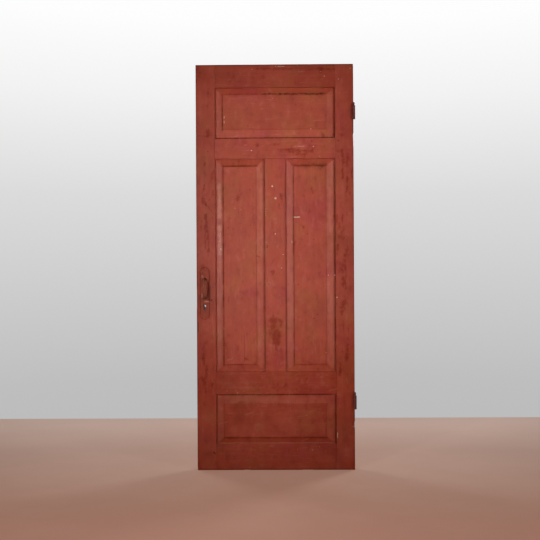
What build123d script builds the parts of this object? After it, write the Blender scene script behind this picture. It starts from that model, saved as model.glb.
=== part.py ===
from build123d import *
import os

# Antique panelled door leaf with the door halves of its two lift-off hinges, a bow pull and a mortise lock.
# Millimetres. +X is the width, to the right seen from the front. The front face looks towards -Y. +Z is up.
# The origin is the centre of the lower hinge's socket, at its mouth, so the hinge axis is the Z axis.

os.makedirs("parts", exist_ok=True)

# ---------------------------------------------------------------- driving dimensions
WIDTH = 800.0            # leaf
HEIGHT = 2060.0
THICK = 40.0

LOCK_STILE_W = 100.0
HANGING_STILE_W = 90.0
MUNTIN_X0 = 352.5        # from the leaf's left edge
MUNTIN_X1 = 453.5

BOTTOM_RAIL_TOP = 132.5  # heights from the leaf's bottom edge
LOCK_RAIL_LOW = 383.5
LOCK_RAIL_TOP = 497.5
FRIEZE_LOW = 1580.0
FRIEZE_TOP = 1683.0
TOP_RAIL_LOW = 1940.0

TENON_T = 13.0           # tenon thickness, a third of the leaf's
WEDGE_END = 6.0          # wedge thickness at the stile's outer edge
WEDGE_L = 62.0
GROOVE_W = 10.0          # panel groove
GROOVE_D = 12.0
TONGUE_T = 9.4
TONGUE_IN = 10.0         # how far a panel's tongue enters the groove
BEVEL_RISE = 6.0         # bevel of the raised panel
FIELD_STEP = 2.6         # step from bevel to field
EDGE_GAP = 0.8           # from the opening's edge to where the bevel starts

HINGE_MOUTHS = (309.0, 1778.0)   # height of each socket's mouth from the leaf's bottom edge
BARREL_R = 8.8
SOCKET_R = 4.6
SOCKET_L = 62.0
BARREL_L = 70.0
LEAF_T = 3.0
LEAF_DOWN = 64.0         # hinge leaf below and above the mouth
LEAF_UP = 87.0
AXIS_GAP = 0.4           # barrel to the front face

PLATE_X = 42.0           # backplate and keyhole axis from the left edge
PLATE_W = 44.0
PLATE_LOW = 769.0
PLATE_TOP = 1031.0
PLATE_T = 2.5
KEY_Z = 835.0
KEY_R = 5.5
KEY_SLOT_W = 5.0
KEY_SLOT_L = 23.0
PULL_LOW = 876.0
PULL_TOP = 970.0
PULL_OUT = 38.0          # grip centre in front of the plate
PULL_R = 4.8

CASE_LOW = 802.0         # mortise lock
CASE_TOP = 920.0
CASE_X1 = 63.0
CASE_T = 14.0
SHEET = 1.5
FACE_T = 3.0
FACE_W = 20.0
FACE_LOW = 775.0
FACE_TOP = 945.0
BOLT_LOW = 850.0
BOLT_TOP = 878.0
BOLT_HEAD_T = 10.0
BOLT_TAIL_T = 6.0
BOLT_THROW = 14.0

# ---------------------------------------------------------------- the leaf's place in this frame
X0 = -WIDTH                          # left edge
X1 = 0.0                             # right edge
YF = BARREL_R + AXIS_GAP             # front face
YM = YF + THICK / 2                  # middle plane
YR = YF + THICK                      # rear face
ZB = -HINGE_MOUTHS[0]                # bottom edge
ZT = ZB + HEIGHT                     # top edge

LS = X0 + LOCK_STILE_W               # inner edge of the lock stile
HS = X1 - HANGING_STILE_W            # inner edge of the hanging stile
MX0 = X0 + MUNTIN_X0
MX1 = X0 + MUNTIN_X1
Z1 = ZB + BOTTOM_RAIL_TOP
Z2 = ZB + LOCK_RAIL_LOW
Z3 = ZB + LOCK_RAIL_TOP
Z4 = ZB + FRIEZE_LOW
Z5 = ZB + FRIEZE_TOP
Z6 = ZB + TOP_RAIL_LOW

KX = X0 + PLATE_X
KZ = ZB + KEY_Z

# through tenons: name, low and high end, low and high edge of the rail that carries the groove
TENONS = {
    "bottom_rail": (ZB + 20.0, ZB + 110.0),
    "lock_rail": (ZB + 405.0, ZB + 478.0),
    "frieze_rail": (ZB + 1598.0, ZB + 1665.0),
    "top_rail": (ZB + 1960.0, ZB + 2034.0),
}
STUB_D = 32.0                        # muntin's stub tenon
STUB_X = (MX0 + 16.0, MX1 - 16.0)


def block(x0, x1, y0, y1, z0, z1, mode=Mode.ADD):
    """A box between two corners, in the part that is being built."""
    with Locations(((x0 + x1) / 2, (y0 + y1) / 2, (z0 + z1) / 2)):
        Box(x1 - x0, y1 - y0, z1 - z0, mode=mode)


def front_plane(y):
    """A plane across the leaf, whose sketches read as seen from the front."""
    return Plane.XZ.offset(-y)


def finish(builder, name, step_name=None):
    builder.part.label = name
    export_step(builder.part, f"parts/{name}.step")
    print(name, [round(v, 1) for v in tuple(builder.part.bounding_box().size)], len(builder.part.solids()))


def wedge_outline(z_tenon, up, x_out, x_in):
    """Corners of one wedge seen from the front: thick at the stile's outer edge, nothing at the inner end."""
    z_far = z_tenon + (WEDGE_END if up else -WEDGE_END)
    return [(x_out, z_tenon), (x_out, z_far), (x_in, z_tenon)]


WEDGES = []
for low, high in TENONS.values():
    for x_out, x_in in ((X0, X0 + WEDGE_L), (X1, X1 - WEDGE_L)):
        WEDGES.append(wedge_outline(high, True, x_out, x_in))
        WEDGES.append(wedge_outline(low, False, x_out, x_in))

# ---------------------------------------------------------------- stiles
SCREW_ZS = (-52.0, 12.0, 72.0)       # hinge screws, from the mouth
SCREW_Y = YF + 17.0
LEAF_Y1 = YF + 29.0

PLATE_SCREWS = [
    (KX - 14.0, ZB + 1006.0), (KX + 14.0, ZB + 1006.0),
    (KX - 14.0, ZB + 790.0), (KX + 14.0, ZB + 790.0),
]

with BuildPart() as lock_stile:
    with BuildSketch(front_plane(YR)):
        with Locations(((X0 + LS) / 2, (ZB + ZT) / 2)):
            Rectangle(LOCK_STILE_W, HEIGHT)
    extrude(amount=THICK)
    # through mortises with their flare for the wedges
    for low, high in TENONS.values():
        block(X0, LS, YM - TENON_T / 2, YM + TENON_T / 2, low, high, Mode.SUBTRACT)
    for points in [w for w in WEDGES if w[0][0] == X0]:
        with BuildSketch(front_plane(YM + TENON_T / 2)):
            with BuildLine():
                Polyline(*points, close=True)
            make_face()
        extrude(amount=TENON_T, mode=Mode.SUBTRACT)
    # panel groove, from the bottom rail to the top rail
    block(LS - GROOVE_D, LS, YM - GROOVE_W / 2, YM + GROOVE_W / 2, Z1 - GROOVE_D, Z6 + GROOVE_D, Mode.SUBTRACT)
    # mortise for the lock and the recess of its faceplate
    block(X0, X0 + FACE_T, YM - FACE_W / 2, YM + FACE_W / 2, ZB + FACE_LOW, ZB + FACE_TOP, Mode.SUBTRACT)
    block(X0, X0 + CASE_X1 + 1.0, YM - CASE_T / 2, YM + CASE_T / 2, ZB + CASE_LOW, ZB + CASE_TOP, Mode.SUBTRACT)
    # keyhole, right through
    with BuildSketch(front_plane(YR)):
        with Locations((KX, KZ)):
            Circle(KEY_R)
        with Locations((KX, KZ - KEY_SLOT_L / 2)):
            Rectangle(KEY_SLOT_W, KEY_SLOT_L)
    extrude(amount=THICK, mode=Mode.SUBTRACT)
    # pockets for the pull's riveted ends, and pilot holes for the plate screws
    with BuildSketch(front_plane(YF + 2.5)):
        with Locations((KX, ZB + PULL_LOW), (KX, ZB + PULL_TOP)):
            Circle(6.0)
    extrude(amount=2.5, mode=Mode.SUBTRACT)
    for y, way in ((YF, 1), (YR, -1)):
        with BuildSketch(Plane.XZ.offset(-y)):
            with Locations(*PLATE_SCREWS):
                Circle(1.75)
        extrude(amount=-14.0 * way, mode=Mode.SUBTRACT)
    # pilot holes for the faceplate screws
    with BuildSketch(Plane.YZ.offset(X0)):
        with Locations((YM, ZB + FACE_LOW + 11.0), (YM, ZB + FACE_TOP - 11.0)):
            Circle(1.75)
    extrude(amount=26.0, mode=Mode.SUBTRACT)
finish(lock_stile, "lock_stile")

with BuildPart() as hanging_stile:
    with BuildSketch(front_plane(YR)):
        with Locations(((X1 + HS) / 2, (ZB + ZT) / 2)):
            Rectangle(HANGING_STILE_W, HEIGHT)
    extrude(amount=THICK)
    for low, high in TENONS.values():
        block(HS, X1, YM - TENON_T / 2, YM + TENON_T / 2, low, high, Mode.SUBTRACT)
    for points in [w for w in WEDGES if w[0][0] == X1]:
        with BuildSketch(front_plane(YM + TENON_T / 2)):
            with BuildLine():
                Polyline(*points, close=True)
            make_face()
        extrude(amount=TENON_T, mode=Mode.SUBTRACT)
    block(HS, HS + GROOVE_D, YM - GROOVE_W / 2, YM + GROOVE_W / 2, Z1 - GROOVE_D, Z6 + GROOVE_D, Mode.SUBTRACT)
    # recesses of the two hinge leaves, and pilot holes for their screws
    for mouth in HINGE_MOUTHS:
        z = ZB + mouth
        block(X1 - LEAF_T, X1, YF, LEAF_Y1, z - LEAF_DOWN, z + LEAF_UP, Mode.SUBTRACT)
        with BuildSketch(Plane.YZ.offset(X1)):
            with Locations(*[(SCREW_Y, z + dz) for dz in SCREW_ZS]):
                Circle(2.0)
        extrude(amount=-36.0, mode=Mode.SUBTRACT)
finish(hanging_stile, "hanging_stile")

# ---------------------------------------------------------------- rails
GROOVES = {                          # which edges of each rail carry a groove
    "bottom_rail": (None, Z1), "lock_rail": (Z2, Z3), "frieze_rail": (Z4, Z5), "top_rail": (Z6, None),
}
RAIL_Z = {"bottom_rail": (ZB, Z1), "lock_rail": (Z2, Z3), "frieze_rail": (Z4, Z5), "top_rail": (Z6, ZT)}

for rail_name, (z_low, z_high) in RAIL_Z.items():
    t_low, t_high = TENONS[rail_name]
    g_low, g_high = GROOVES[rail_name]
    with BuildPart() as rail:
        with BuildSketch(front_plane(YR)):
            with Locations(((LS + HS) / 2, (z_low + z_high) / 2)):
                Rectangle(HS - LS, z_high - z_low)
        extrude(amount=THICK)
        block(X0, LS, YM - TENON_T / 2, YM + TENON_T / 2, t_low, t_high)
        block(HS, X1, YM - TENON_T / 2, YM + TENON_T / 2, t_low, t_high)
        if g_low is not None:
            block(LS, HS, YM - GROOVE_W / 2, YM + GROOVE_W / 2, g_low, g_low + GROOVE_D, Mode.SUBTRACT)
        if g_high is not None:
            block(LS, HS, YM - GROOVE_W / 2, YM + GROOVE_W / 2, g_high - GROOVE_D, g_high, Mode.SUBTRACT)
        # mortise for the muntin's stub tenon
        if rail_name == "lock_rail":
            block(*STUB_X, YM - TENON_T / 2, YM + TENON_T / 2, Z3 - STUB_D - 1.0, Z3, Mode.SUBTRACT)
        if rail_name == "frieze_rail":
            block(*STUB_X, YM - TENON_T / 2, YM + TENON_T / 2, Z4, Z4 + STUB_D + 1.0, Mode.SUBTRACT)
    finish(rail, rail_name)

with BuildPart() as muntin:
    with BuildSketch(front_plane(YR)):
        with Locations(((MX0 + MX1) / 2, (Z3 + Z4) / 2)):
            Rectangle(MX1 - MX0, Z4 - Z3)
    extrude(amount=THICK)
    block(*STUB_X, YM - TENON_T / 2, YM + TENON_T / 2, Z3 - STUB_D, Z3)
    block(*STUB_X, YM - TENON_T / 2, YM + TENON_T / 2, Z4, Z4 + STUB_D)
    block(MX0, MX0 + GROOVE_D, YM - GROOVE_W / 2, YM + GROOVE_W / 2, Z3, Z4, Mode.SUBTRACT)
    block(MX1 - GROOVE_D, MX1, YM - GROOVE_W / 2, YM + GROOVE_W / 2, Z3, Z4, Mode.SUBTRACT)
finish(muntin, "muntin")

with BuildPart() as tenon_wedges:
    for points in WEDGES:
        with BuildSketch(front_plane(YM + TENON_T / 2)):
            with BuildLine():
                Polyline(*points, close=True)
            make_face()
        extrude(amount=TENON_T)
finish(tenon_wedges, "tenon_wedges")

# ---------------------------------------------------------------- panels
# opening x0, x1, z0, z1, and the bevel widths left, right, bottom, top
PANELS = {
    "panel_top": (LS, HS, Z5, Z6, 45.0, 49.0, 48.5, 34.0),
    "panel_left": (LS, MX0, Z3, Z4, 45.5, 47.0, 38.0, 36.5),
    "panel_right": (MX1, HS, Z3, Z4, 48.0, 50.0, 38.0, 36.5),
    "panel_bottom": (LS, HS, Z1, Z2, 47.0, 49.0, 33.0, 49.0),
}

for panel_name, (x0, x1, z0, z1, b_left, b_right, b_low, b_high) in PANELS.items():
    with BuildPart() as panel:
        block(x0 - TONGUE_IN, x1 + TONGUE_IN, YM - TONGUE_T / 2, YM + TONGUE_T / 2, z0 - TONGUE_IN, z1 + TONGUE_IN)
        fx0, fx1, fz0, fz1 = x0 + b_left, x1 - b_right, z0 + b_low, z1 - b_high
        for way in (-1, 1):
            y_base = YM + way * TONGUE_T / 2
            y_bevel = y_base + way * BEVEL_RISE
            with BuildSketch(front_plane(y_base)):
                with Locations(((x0 + x1) / 2, (z0 + z1) / 2)):
                    Rectangle(x1 - x0 - 2 * EDGE_GAP, z1 - z0 - 2 * EDGE_GAP)
            with BuildSketch(front_plane(y_bevel)):
                with Locations(((fx0 + fx1) / 2, (fz0 + fz1) / 2)):
                    Rectangle(fx1 - fx0, fz1 - fz0)
            loft()
            # the raised field, with a softened arris
            with BuildSketch(front_plane(y_bevel)):
                with Locations(((fx0 + fx1) / 2, (fz0 + fz1) / 2)):
                    Rectangle(fx1 - fx0, fz1 - fz0)
            extrude(amount=-way * FIELD_STEP)
            rim = panel.faces().sort_by(Axis.Y)[0 if way < 0 else -1].edges()
            chamfer(rim, length=0.8)
    finish(panel, panel_name)

# ---------------------------------------------------------------- hinges, door halves
for hinge_name, mouth in zip(("hinge_lower", "hinge_upper"), HINGE_MOUTHS):
    z = ZB + mouth
    with BuildPart() as hinge:
        # leaf let into the door's edge, and the upper half of it carried on to the barrel
        with BuildSketch(Plane.YZ.offset(X1 - LEAF_T)):
            with Locations(((YF + LEAF_Y1) / 2, z + (LEAF_UP - LEAF_DOWN) / 2)):
                Rectangle(LEAF_Y1 - YF, LEAF_UP + LEAF_DOWN)
        extrude(amount=LEAF_T)
        block(X1 - LEAF_T, X1, 6.4, YF, z + 1.0, z + BARREL_L - 2.0)
        # barrel with a turned finial on top
        with BuildSketch(Plane.XZ):
            with BuildLine():
                Polyline((0, z), (BARREL_R - 0.6, z), (BARREL_R, z + 0.6), (BARREL_R, z + BARREL_L - 1.0),
                         (BARREL_R - 1.0, z + BARREL_L), (4.6, z + BARREL_L + 1.6), (4.6, z + BARREL_L + 3.4),
                         (6.3, z + BARREL_L + 5.6), (6.3, z + BARREL_L + 10.5), (6.05, z + BARREL_L + 12.1),
                         (5.4, z + BARREL_L + 13.6), (4.35, z + BARREL_L + 14.9), (3.0, z + BARREL_L + 15.9),
                         (1.6, z + BARREL_L + 16.5), (0.6, z + BARREL_L + 16.7), (0, z + BARREL_L + 16.7), (0, z))
            make_face()
        revolve(axis=Axis.Z)
        # blind socket for the pin of the frame's half
        with BuildSketch(Plane.XY.offset(z)):
            Circle(SOCKET_R)
        extrude(amount=SOCKET_L, mode=Mode.SUBTRACT)
        # countersunk screw holes
        for dz in SCREW_ZS:
            with BuildSketch(Plane.YZ.offset(X1)):
                with Locations((SCREW_Y, z + dz)):
                    Circle(4.4)
            with BuildSketch(Plane.YZ.offset(X1 - 2.4)):
                with Locations((SCREW_Y, z + dz)):
                    Circle(2.0)
            loft(mode=Mode.SUBTRACT)
            with BuildSketch(Plane.YZ.offset(X1)):
                with Locations((SCREW_Y, z + dz)):
                    Circle(2.0)
            extrude(amount=-LEAF_T, mode=Mode.SUBTRACT)
    finish(hinge, hinge_name)


with BuildPart() as hinge_screws:
    for mouth in HINGE_MOUTHS:
        for k, dz in enumerate(SCREW_ZS):
            z = ZB + mouth + dz
            with BuildSketch(Plane.YZ.offset(X1)):
                with Locations((SCREW_Y, z)):
                    Circle(4.4)
            with BuildSketch(Plane.YZ.offset(X1 - 2.4)):
                with Locations((SCREW_Y, z)):
                    Circle(2.0)
            loft()
            with BuildSketch(Plane.YZ.offset(X1 - 2.4)):
                with Locations((SCREW_Y, z)):
                    Circle(2.0)
            extrude(amount=-(36.0 - 2.4))
            with BuildSketch(Plane.YZ.offset(X1)):
                with Locations(Location((SCREW_Y, z), 25.0 + 50.0 * k)):
                    Rectangle(1.1, 9.4)
            extrude(amount=-1.0, mode=Mode.SUBTRACT)
finish(hinge_screws, "hinge_screws")

# ---------------------------------------------------------------- backplates, pull and their fixings
for plate_name, y_in, way in (("backplate_front", YF, -1), ("backplate_rear", YR, 1)):
    with BuildPart() as plate:
        with BuildSketch(front_plane(y_in)):
            with Locations((KX, ZB + (PLATE_LOW + PLATE_TOP) / 2)):
                SlotOverall(PLATE_TOP - PLATE_LOW, PLATE_W, rotation=90)
        extrude(amount=-way * PLATE_T)
        rim = plate.faces().sort_by(Axis.Y)[0 if way < 0 else -1].edges()
        chamfer(rim, length=0.8)
        with BuildSketch(front_plane(y_in)):
            with Locations((KX, KZ)):
                Circle(KEY_R)
            with Locations((KX, KZ - KEY_SLOT_L / 2)):
                Rectangle(KEY_SLOT_W, KEY_SLOT_L)
        extrude(amount=-way * PLATE_T, mode=Mode.SUBTRACT)
        for x, z in PLATE_SCREWS:
            with BuildSketch(front_plane(y_in + way * PLATE_T)):
                with Locations((x, z)):
                    Circle(3.75)
            with BuildSketch(front_plane(y_in + way * (PLATE_T - 2.0))):
                with Locations((x, z)):
                    Circle(1.75)
            loft(mode=Mode.SUBTRACT)
            with BuildSketch(front_plane(y_in)):
                with Locations((x, z)):
                    Circle(1.75)
            extrude(amount=-way * PLATE_T, mode=Mode.SUBTRACT)
        if way < 0:
            with BuildSketch(front_plane(y_in)):
                with Locations((KX, ZB + PULL_LOW), (KX, ZB + PULL_TOP)):
                    Circle(3.1)
            extrude(amount=-way * PLATE_T, mode=Mode.SUBTRACT)
    finish(plate, plate_name)

for screws_name, y_in, way in (("backplate_screws_front", YF, -1), ("backplate_screws_rear", YR, 1)):
    with BuildPart() as plate_screws:
        for k, (x, z) in enumerate(PLATE_SCREWS):
            y_top = y_in + way * PLATE_T
            with BuildSketch(front_plane(y_top)):
                with Locations((x, z)):
                    Circle(3.75)
            with BuildSketch(front_plane(y_top - way * 2.0)):
                with Locations((x, z)):
                    Circle(1.75)
            loft()
            with BuildSketch(front_plane(y_top - way * 2.0)):
                with Locations((x, z)):
                    Circle(1.75)
            extrude(amount=way * (14.0 + PLATE_T - 2.0))
            with BuildSketch(front_plane(y_top)):
                with Locations(Location((x, z), 15.0 + 40.0 * k)):
                    Rectangle(0.9, 8.0)
            extrude(amount=way * 0.8, mode=Mode.SUBTRACT)
    finish(plate_screws, screws_name)

PY = YF - PLATE_T                    # face of the front backplate
with BuildPart() as pull:
    # forged bow, swept along two legs and a grip
    with BuildLine() as bow_line:
        FilletPolyline(
            (KX, PY - 1.0, ZB + PULL_LOW), (KX, PY - 16.0, ZB + PULL_LOW - 1.0), (KX, PY - PULL_OUT, ZB + PULL_LOW + 16.0),
            (KX, PY - PULL_OUT - 1.5, ZB + (PULL_LOW + PULL_TOP) / 2), (KX, PY - PULL_OUT, ZB + PULL_TOP - 16.0),
            (KX, PY - 16.0, ZB + PULL_TOP + 1.0), (KX, PY - 1.0, ZB + PULL_TOP), radius=13.0)
    with BuildSketch(bow_line.line ^ 0):
        Circle(PULL_R)
    sweep()
    for z in (ZB + PULL_LOW, ZB + PULL_TOP):
        # foot pad on the plate, shank through it and the riveted end behind it
        with BuildSketch(front_plane(PY)):
            with Locations((KX, z)):
                Circle(9.0)
        extrude(amount=3.2, taper=12)
        with BuildSketch(front_plane(YF)):
            with Locations((KX, z)):
                Circle(3.0)
        extrude(amount=PLATE_T)
        with BuildSketch(front_plane(YF + 1.8)):
            with Locations((KX, z)):
                Circle(4.8)
        extrude(amount=1.8)
finish(pull, "pull")

# ---------------------------------------------------------------- mortise lock
CY0, CY1 = YM - CASE_T / 2, YM + CASE_T / 2          # case, front and rear
CX0, CX1 = X0 + FACE_T, X0 + CASE_X1
CZ0, CZ1 = ZB + CASE_LOW, ZB + CASE_TOP
BZ0, BZ1 = ZB + BOLT_LOW, ZB + BOLT_TOP
CAP_Y = CY1 - SHEET                                  # inner face of the cap
POSTS = ((X0 + 56.0, ZB + 912.0), (X0 + 56.0, ZB + 810.0))
STUMP = (X0 + 39.0, ZB + 868.0)
RIVETS = (ZB + 808.0, ZB + 914.0)

with BuildPart() as lock_case:
    block(CX0, CX1, CY0, CAP_Y, CZ0, CZ1)
    block(CX0 + SHEET, CX1 - SHEET, CY0 + SHEET, CAP_Y, CZ0 + SHEET, CZ1 - SHEET, Mode.SUBTRACT)
    # posts for the cap screws
    with BuildSketch(front_plane(CAP_Y)):
        with Locations(*POSTS):
            Circle(3.6)
    extrude(amount=CAP_Y - CY0 - SHEET)
    with BuildSketch(front_plane(CAP_Y)):
        with Locations(*POSTS):
            Circle(1.6)
    extrude(amount=9.0, mode=Mode.SUBTRACT)
    # bolt hole in the end wall, stump hole, rivet holes and keyhole
    block(CX0, CX0 + SHEET, YM - BOLT_HEAD_T / 2 - 0.3, YM + BOLT_HEAD_T / 2 + 0.3, BZ0 - 0.3, BZ1 + 0.3, Mode.SUBTRACT)
    with BuildSketch(front_plane(CY0 + SHEET)):
        with Locations(STUMP):
            Circle(2.0)
        with Locations((KX, KZ)):
            Circle(KEY_R)
        with Locations((KX, KZ - KEY_SLOT_L / 2)):
            Rectangle(KEY_SLOT_W, KEY_SLOT_L)
    extrude(amount=SHEET, mode=Mode.SUBTRACT)
    with BuildSketch(Plane.YZ.offset(CX0)):
        with Locations(*[(YM, z) for z in RIVETS]):
            Circle(1.8)
    extrude(amount=SHEET, mode=Mode.SUBTRACT)
finish(lock_case, "lock_case")

with BuildPart() as lock_cap:
    block(CX0, CX1, CAP_Y, CY1, CZ0, CZ1)
    with BuildSketch(front_plane(CY1)):
        with Locations((KX, KZ)):
            Circle(KEY_R)
        with Locations((KX, KZ - KEY_SLOT_L / 2)):
            Rectangle(KEY_SLOT_W, KEY_SLOT_L)
        with Locations(*POSTS):
            Circle(1.6)
    extrude(amount=SHEET, mode=Mode.SUBTRACT)
    for x, z in POSTS:
        with BuildSketch(front_plane(CY1)):
            with Locations((x, z)):
                Circle(2.9)
        with BuildSketch(front_plane(CY1 - 1.3)):
            with Locations((x, z)):
                Circle(1.6)
        loft(mode=Mode.SUBTRACT)
finish(lock_cap, "lock_cap")

with BuildPart() as cap_screws:
    for x, z in POSTS:
        with BuildSketch(front_plane(CY1)):
            with Locations((x, z)):
                Circle(2.9)
        with BuildSketch(front_plane(CY1 - 1.3)):
            with Locations((x, z)):
                Circle(1.6)
        loft()
        with BuildSketch(front_plane(CY1 - 1.3)):
            with Locations((x, z)):
                Circle(1.6)
        extrude(amount=9.0 + SHEET - 1.3)
        with BuildSketch(front_plane(CY1)):
            with Locations((x, z)):
                Rectangle(0.7, 6.2)
        extrude(amount=0.5, mode=Mode.SUBTRACT)
finish(cap_screws, "cap_screws")

with BuildPart() as lock_faceplate:
    block(X0, X0 + FACE_T, YM - FACE_W / 2, YM + FACE_W / 2, ZB + FACE_LOW, ZB + FACE_TOP)
    block(X0, X0 + FACE_T, YM - BOLT_HEAD_T / 2 - 0.3, YM + BOLT_HEAD_T / 2 + 0.3, BZ0 - 0.3, BZ1 + 0.3, Mode.SUBTRACT)
    with BuildSketch(Plane.YZ.offset(X0)):
        with Locations(*[(YM, z) for z in RIVETS]):
            Circle(1.8)
    extrude(amount=FACE_T, mode=Mode.SUBTRACT)
    for z in (ZB + FACE_LOW + 11.0, ZB + FACE_TOP - 11.0):
        with BuildSketch(Plane.YZ.offset(X0)):
            with Locations((YM, z)):
                Circle(3.75)
        with BuildSketch(Plane.YZ.offset(X0 + 2.0)):
            with Locations((YM, z)):
                Circle(1.75)
        loft(mode=Mode.SUBTRACT)
        with BuildSketch(Plane.YZ.offset(X0)):
            with Locations((YM, z)):
                Circle(1.75)
        extrude(amount=FACE_T, mode=Mode.SUBTRACT)
finish(lock_faceplate, "lock_faceplate")

with BuildPart() as faceplate_screws:
    for k, z in enumerate((ZB + FACE_LOW + 11.0, ZB + FACE_TOP - 11.0)):
        with BuildSketch(Plane.YZ.offset(X0)):
            with Locations((YM, z)):
                Circle(3.75)
        with BuildSketch(Plane.YZ.offset(X0 + 2.0)):
            with Locations((YM, z)):
                Circle(1.75)
        loft()
        with BuildSketch(Plane.YZ.offset(X0 + 2.0)):
            with Locations((YM, z)):
                Circle(1.75)
        extrude(amount=24.0)
        with BuildSketch(Plane.YZ.offset(X0)):
            with Locations(Location((YM, z), 20.0 + 60.0 * k)):
                Rectangle(0.9, 8.0)
        extrude(amount=0.8, mode=Mode.SUBTRACT)
finish(faceplate_screws, "faceplate_screws")

with BuildPart() as faceplate_rivets:
    for z in RIVETS:
        with BuildSketch(Plane.YZ.offset(X0)):
            with Locations((YM, z)):
                Circle(1.8)
        extrude(amount=FACE_T + SHEET)
        with BuildSketch(Plane.YZ.offset(CX0 + SHEET)):
            with Locations((YM, z)):
                Circle(3.0)
        extrude(amount=1.2)
finish(faceplate_rivets, "faceplate_rivets")

with BuildPart() as bolt_stump:
    with BuildSketch(front_plane(CAP_Y)):
        with Locations(STUMP):
            Circle(2.0)
    extrude(amount=CAP_Y - CY0)
finish(bolt_stump, "bolt_stump")

with BuildPart() as deadbolt:
    # head
    block(X0 + 0.6, X0 + 34.0, YM - BOLT_HEAD_T / 2, YM + BOLT_HEAD_T / 2, BZ0, BZ1)
    # tail with its guide slot and the notch that the key's bit drives
    block(X0 + 34.0, X0 + 59.5, YM - BOLT_TAIL_T / 2, YM + BOLT_TAIL_T / 2, BZ0, BZ1)
    with BuildSketch(front_plane(YM + BOLT_TAIL_T / 2)):
        with Locations((STUMP[0] + BOLT_THROW / 2, STUMP[1])):
            SlotCenterToCenter(BOLT_THROW + 0.8, 4.8)
    extrude(amount=BOLT_TAIL_T, mode=Mode.SUBTRACT)
    with BuildSketch(front_plane(YM + BOLT_TAIL_T / 2)):
        with Locations((X0 + 44.0, BZ0 + 4.0)):
            Rectangle(12.0, 8.0)
    extrude(amount=BOLT_TAIL_T, mode=Mode.SUBTRACT)
finish(deadbolt, "deadbolt")

with BuildPart() as bolt_spring:
    # flat spring, riveted under the case's top, resting just over the bolt
    with BuildSketch(front_plane(YM + 3.0)):
        with BuildLine():
            l1 = Line((X0 + 36.0, CZ1 - SHEET - 0.45), (X0 + 14.0, CZ1 - SHEET - 0.45))
            l2 = ThreePointArc((X0 + 14.0, CZ1 - SHEET - 0.45), (X0 + 9.0, CZ1 - SHEET - 8.0), (X0 + 14.5, CZ1 - SHEET - 15.0))
            l3 = Line((X0 + 14.5, CZ1 - SHEET - 15.0), (X0 + 45.0, BZ1 + 1.2))
        trace(line_width=0.9)
    extrude(amount=6.0)
finish(bolt_spring, "bolt_spring")

with BuildPart() as ward_ring:
    with BuildSketch(front_plane(CY0 + SHEET)):
        with Locations((KX, KZ)):
            Circle(9.8)
            Circle(8.4, mode=Mode.SUBTRACT)
        with Locations((KX, KZ - 9.0)):
            Rectangle(9.0, 10.0, mode=Mode.SUBTRACT)
    extrude(amount=-2.4)
finish(ward_ring, "ward_ring")
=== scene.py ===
import math

import bmesh
import bpy
import numpy as np
from mathutils import Matrix, Vector


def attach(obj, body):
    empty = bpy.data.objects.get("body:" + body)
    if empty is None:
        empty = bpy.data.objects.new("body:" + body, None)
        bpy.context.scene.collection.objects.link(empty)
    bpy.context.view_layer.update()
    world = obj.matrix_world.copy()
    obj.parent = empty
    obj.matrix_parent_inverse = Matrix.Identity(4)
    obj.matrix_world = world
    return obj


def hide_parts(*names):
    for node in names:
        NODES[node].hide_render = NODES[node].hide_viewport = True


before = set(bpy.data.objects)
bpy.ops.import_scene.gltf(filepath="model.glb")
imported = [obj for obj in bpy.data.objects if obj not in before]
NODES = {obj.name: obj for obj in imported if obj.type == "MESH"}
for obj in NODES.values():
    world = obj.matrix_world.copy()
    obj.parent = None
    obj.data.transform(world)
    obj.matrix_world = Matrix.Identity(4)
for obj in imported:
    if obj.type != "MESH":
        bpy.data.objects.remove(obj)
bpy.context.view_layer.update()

BODY = "leaf"

# ------------------------------------------------------------------ the leaf's measures, in millimetres from its lower left corner
W, H = 800.0, 2060.0
LS, HS = 97.0, 707.0
MX0, MX1 = 349.5, 451.5
Z1, Z2, Z3, Z4, Z5, Z6 = 132.5, 385.5, 499.5, 1582.5, 1686.0, 1943.0
YF, YR = 9.2, 49.2                     # front and rear face, in the row frame
YM = (YF + YR) / 2
TENONS = {"bottom_rail": (20.0, 110.0), "lock_rail": (405.0, 478.0), "frieze_rail": (1598.0, 1665.0), "top_rail": (1960.0, 2034.0)}


def row(x, y, z):
    """Leaf millimetres to row-frame metres. y is already the row's."""
    return np.stack([(x - 800.0) / 1000.0, y / 1000.0, (z - 309.0) / 1000.0], -1)


# ------------------------------------------------------------------ noise
def _hash(ix, iy, seed):
    h = (ix.astype(np.int64) * 374761393 + iy.astype(np.int64) * 668265263 + seed * 974634777) & 0xFFFFFFFF
    h = ((h ^ (h >> 13)) * 1274126177) & 0xFFFFFFFF
    h = h ^ (h >> 16)
    return h / 4294967296.0


def noise(x, y, seed=0):
    """Smooth gradient noise, about -1 to 1."""
    x, y = np.broadcast_arrays(np.asarray(x, float), np.asarray(y, float))
    ix, iy = np.floor(x), np.floor(y)
    fx, fy = x - ix, y - iy

    def corner(dx, dy):
        a = _hash(ix + dx, iy + dy, seed) * 2 * math.pi
        return np.cos(a) * (fx - dx) + np.sin(a) * (fy - dy)

    u, v = fx * fx * fx * (fx * (fx * 6 - 15) + 10), fy * fy * fy * (fy * (fy * 6 - 15) + 10)
    low = corner(0, 0) * (1 - u) + corner(1, 0) * u
    high = corner(0, 1) * (1 - u) + corner(1, 1) * u
    return 1.5 * (low * (1 - v) + high * v)


def fbm(x, y, seed=0, octaves=3):
    total, size = 0.0, 1.0
    for k in range(octaves):
        total = total + size * noise(x * 2.03 ** k + 17.3 * k, y * 2.03 ** k - 9.1 * k, seed + 31 * k)
        size *= 0.5
    return total


# ------------------------------------------------------------------ wear and dirt, with some painted shadows and one painted highlight, listed one by one: x0, z0, x1, z1, half width, strength
def dots(points, size, strength):
    return [(x, z, x, z, size, strength) for x, z in points]


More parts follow.
